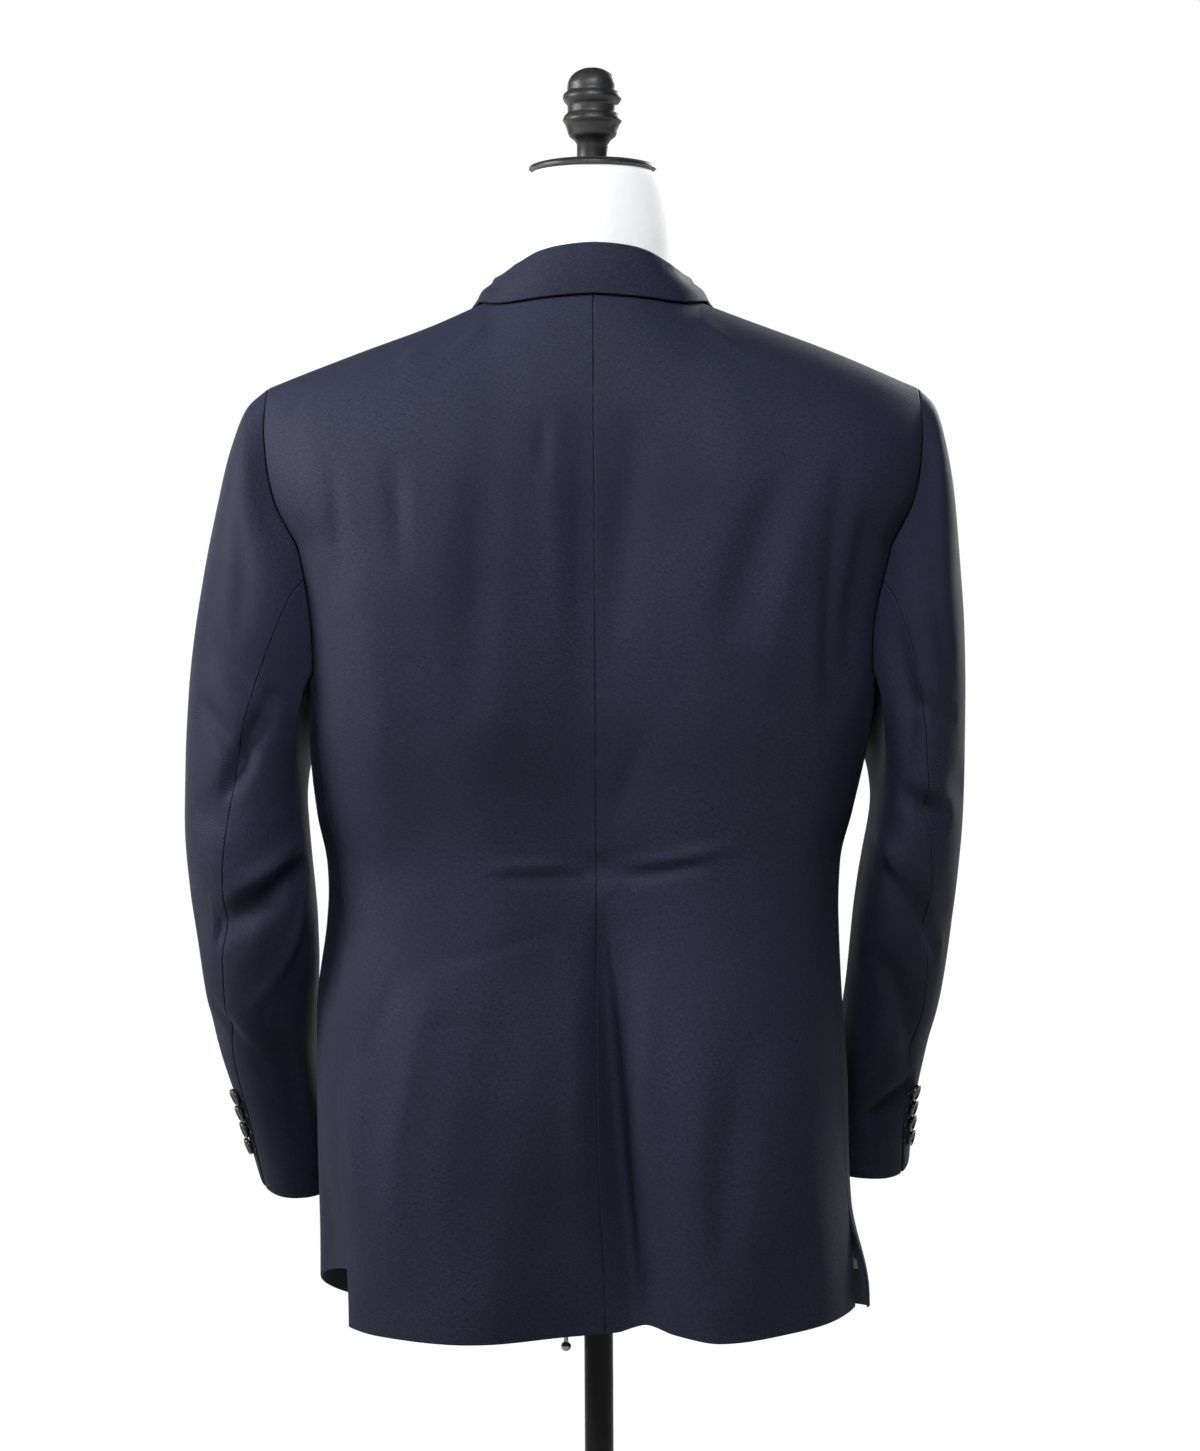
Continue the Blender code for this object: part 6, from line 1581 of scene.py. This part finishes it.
# ================================================================== sewing details
def front_details(lapels):
    """Buttons, buttonholes and the pick stitching along the lapels and fronts."""
    turn, level = place(np.array([0.0]), np.array([BUTTON_Z]), 2, False)
    point = coat_point(turn, level, LEFT_OVER_RIGHT + FRONT_BUTTON_LIFT)[0]
    button("front_button_horn", "front_button", point, JACKET.normal(turn, level)[0], BUTTON_R,
           BUTTON_THICK, 0.2)
    for side, points in lapels.items():
        edge, out = points[:, -LAPEL_STITCH_IN], normals_of(points)[:, -LAPEL_STITCH_IN]
        out = out * np.sign(-out[:, 1:2].mean())
        stitches(f"lapel_stitches_{SIDE_NAMES[side]}", edge[6:-4], out[6:-4])
    left = lapels[1]
    row, column = int(left.shape[0] * LAPEL_HOLE_ROW), int(left.shape[1] * LAPEL_HOLE_COLUMN)
    out = normals_of(left)[row, column]
    buttonhole("lapel_buttonhole", left[row, column], left[row, column + 3] - left[row, column - 3],
               out * np.sign(-out[1]), LAPEL_HOLE_LONG)
    for side, word in SIDE_NAMES.items():
        z = np.linspace(BUTTON_Z - FRONT_STITCH_DROP, FRONT_STITCH_LOW_Z, 160)
        x = FRONT_STITCH_IN - EDGE_PAST_MIDDLE(z)
        turn, level = place(side * x, z, 2, False)
        line = coat_point(turn, level, overlap_out(side, side * x) + 0.0001)
        line = line + raised(hem_lift(level, side_rise(side, np.abs(turn))))
        stitches(f"front_stitches_{word}", line[FRONT_STITCH_SKIP[side]:], FORWARD)
        for end, off in enumerate((POCKET_WIDE / 2, -POCKET_WIDE / 2)):
            turn, level = place(np.array([side * (POCKET_X + off)]),
                                np.array([POCKET_Z - off * POCKET_TILT]), 2, False)
            spot = coat_point(turn, level, np.array([TACK_OUT]))[0]
            bar_tack(f"pocket_tack_{word}_{end}", spot, np.array([0, 0, 1.0]),
                     JACKET.normal(turn, level)[0])


def sleeve_details(word, sleeve):
    for number, share in enumerate(CUFF_BUTTON_SHARES, 1):
        spot, turn = np.array([share]), np.array([sleeve.back_seam(share) - CUFF_BUTTON_IN])
        normal = sleeve.normal(spot, turn)[0]
        cad_node = f"cuff_button_{word}_{number}"
        button(cad_node + "_horn", cad_node, sleeve.point(spot, turn)[0], normal,
               CUFF_BUTTON_R, CUFF_BUTTON_THICK, 0.35 * number)
        inner, outer = (sleeve.point(spot, turn + off)[0] for off in (CUFF_HOLE_IN, CUFF_HOLE_OUT))
        buttonhole(f"cuff_hole_{word}_{number}", (inner + outer) / 2 + normal * 0.0001,
                   outer - inner, normal, np.linalg.norm(outer - inner))


# ================================================================== floor, lights and camera
def stage():
    angle = np.arange(FLOOR_SIDES) * 2 * math.pi / FLOOR_SIDES
    verts = [(r * math.cos(a), r * math.sin(a), -FLOOR_DROP) for r in FLOOR_RINGS for a in angle]
    verts.append((0, 0, -FLOOR_DROP))
    spot = np.arange(len(verts) - 1).reshape(len(FLOOR_RINGS), FLOOR_SIDES)
    ahead = np.roll(spot, -1, axis=1)
    quads = np.stack([spot[:-1], spot[1:], ahead[1:], ahead[:-1]], -1).reshape(-1, 4).tolist()
    middle = [(len(verts) - 1, i, (i + 1) % FLOOR_SIDES) for i in range(FLOOR_SIDES)]
    floor = bpy.data.objects.new("floor", new_mesh("floor", verts, middle + quads, floor_look()))
    floor.visible_diffuse = False  # a bright floor that throws no glow up into the folds
    bpy.context.scene.collection.objects.link(floor)


def light(name, place_at, size, power, colour, spread):
    lamp = bpy.data.lights.new(name, "AREA")
    lamp.shape = "RECTANGLE"
    lamp.size, lamp.size_y = size
    lamp.energy = power
    lamp.color = colour
    lamp.spread = math.radians(spread)
    thing = bpy.data.objects.new(name, lamp)
    thing.location = place_at
    away = Vector(place_at) - Vector(LIGHT_AIM)
    thing.rotation_euler = away.to_track_quat("Z", "Y").to_euler()
    bpy.context.scene.collection.objects.link(thing)


def lights():
    world = bpy.data.worlds.new("studio")
    bpy.context.scene.world = world
    world.use_nodes = True
    tree = world.node_tree
    tree.nodes.clear()
    seen = node(tree, "Background", {"Color": (1, 1, 1, 1), "Strength": 1.0})
    lit = node(tree, "Background", {"Color": (0.90, 0.94, 1.0, 1), "Strength": WORLD_LIGHT})
    path = node(tree, "LightPath").outputs["Is Camera Ray"]
    mix = node(tree, "MixShader", {0: path, 1: lit.outputs[0], 2: seen.outputs[0]})
    node(tree, "OutputWorld", {0: mix.outputs[0]})
    for row in LIGHTS:
        light(*row)


def camera():
    lens = bpy.data.cameras.new("photo_view")
    lens.sensor_fit = "VERTICAL"
    lens.sensor_height = SENSOR
    lens.lens = FOCAL_PX / PHOTO_HIGH * SENSOR
    lens.clip_start, lens.clip_end = CLIP
    thing = bpy.data.objects.new("photo_view", lens)
    bpy.context.scene.collection.objects.link(thing)
    thing.location = CAMERA_PLACE
    thing.rotation_euler = (math.pi / 2, math.radians(CAMERA_ROLL), math.pi)
    bpy.context.scene.camera = thing
    bpy.context.scene.view_settings.view_transform = "Standard"


def main():
    for side in SIDE_NAMES:
        back_panel(side)
        side_body(side)
        front_panel(side)
    lapels = {}
    for side, word in SIDE_NAMES.items():
        facing_cloth, lapels[side] = lapel(side)
    collar()
    for (side, word), rows in zip(SIDE_NAMES.items(), (LEFT_SLEEVE, RIGHT_SLEEVE)):
        sleeve = Sleeve(side, rows)
        top = sleeve.half(f"top_sleeve_{word}", SLEEVE_COLUMNS_TOP, True)
        under = sleeve.half(f"under_sleeve_{word}", SLEEVE_COLUMNS_UNDER, False)
        lap = sleeve.cuff_lap(f"cuff_lap_{word}")
        sleeve_details(word, sleeve)
    pockets()
    front_details(lapels)
    form_cover()
    form_parts()
    for name, look in (("clamp_ring", BLACK_PAINT), ("clamp_knob", STEEL)):
        for slot in bpy.data.objects[name].material_slots:
            slot.material = look
    stage()
    lights()
    camera()


main()
bpy.context.view_layer.update()
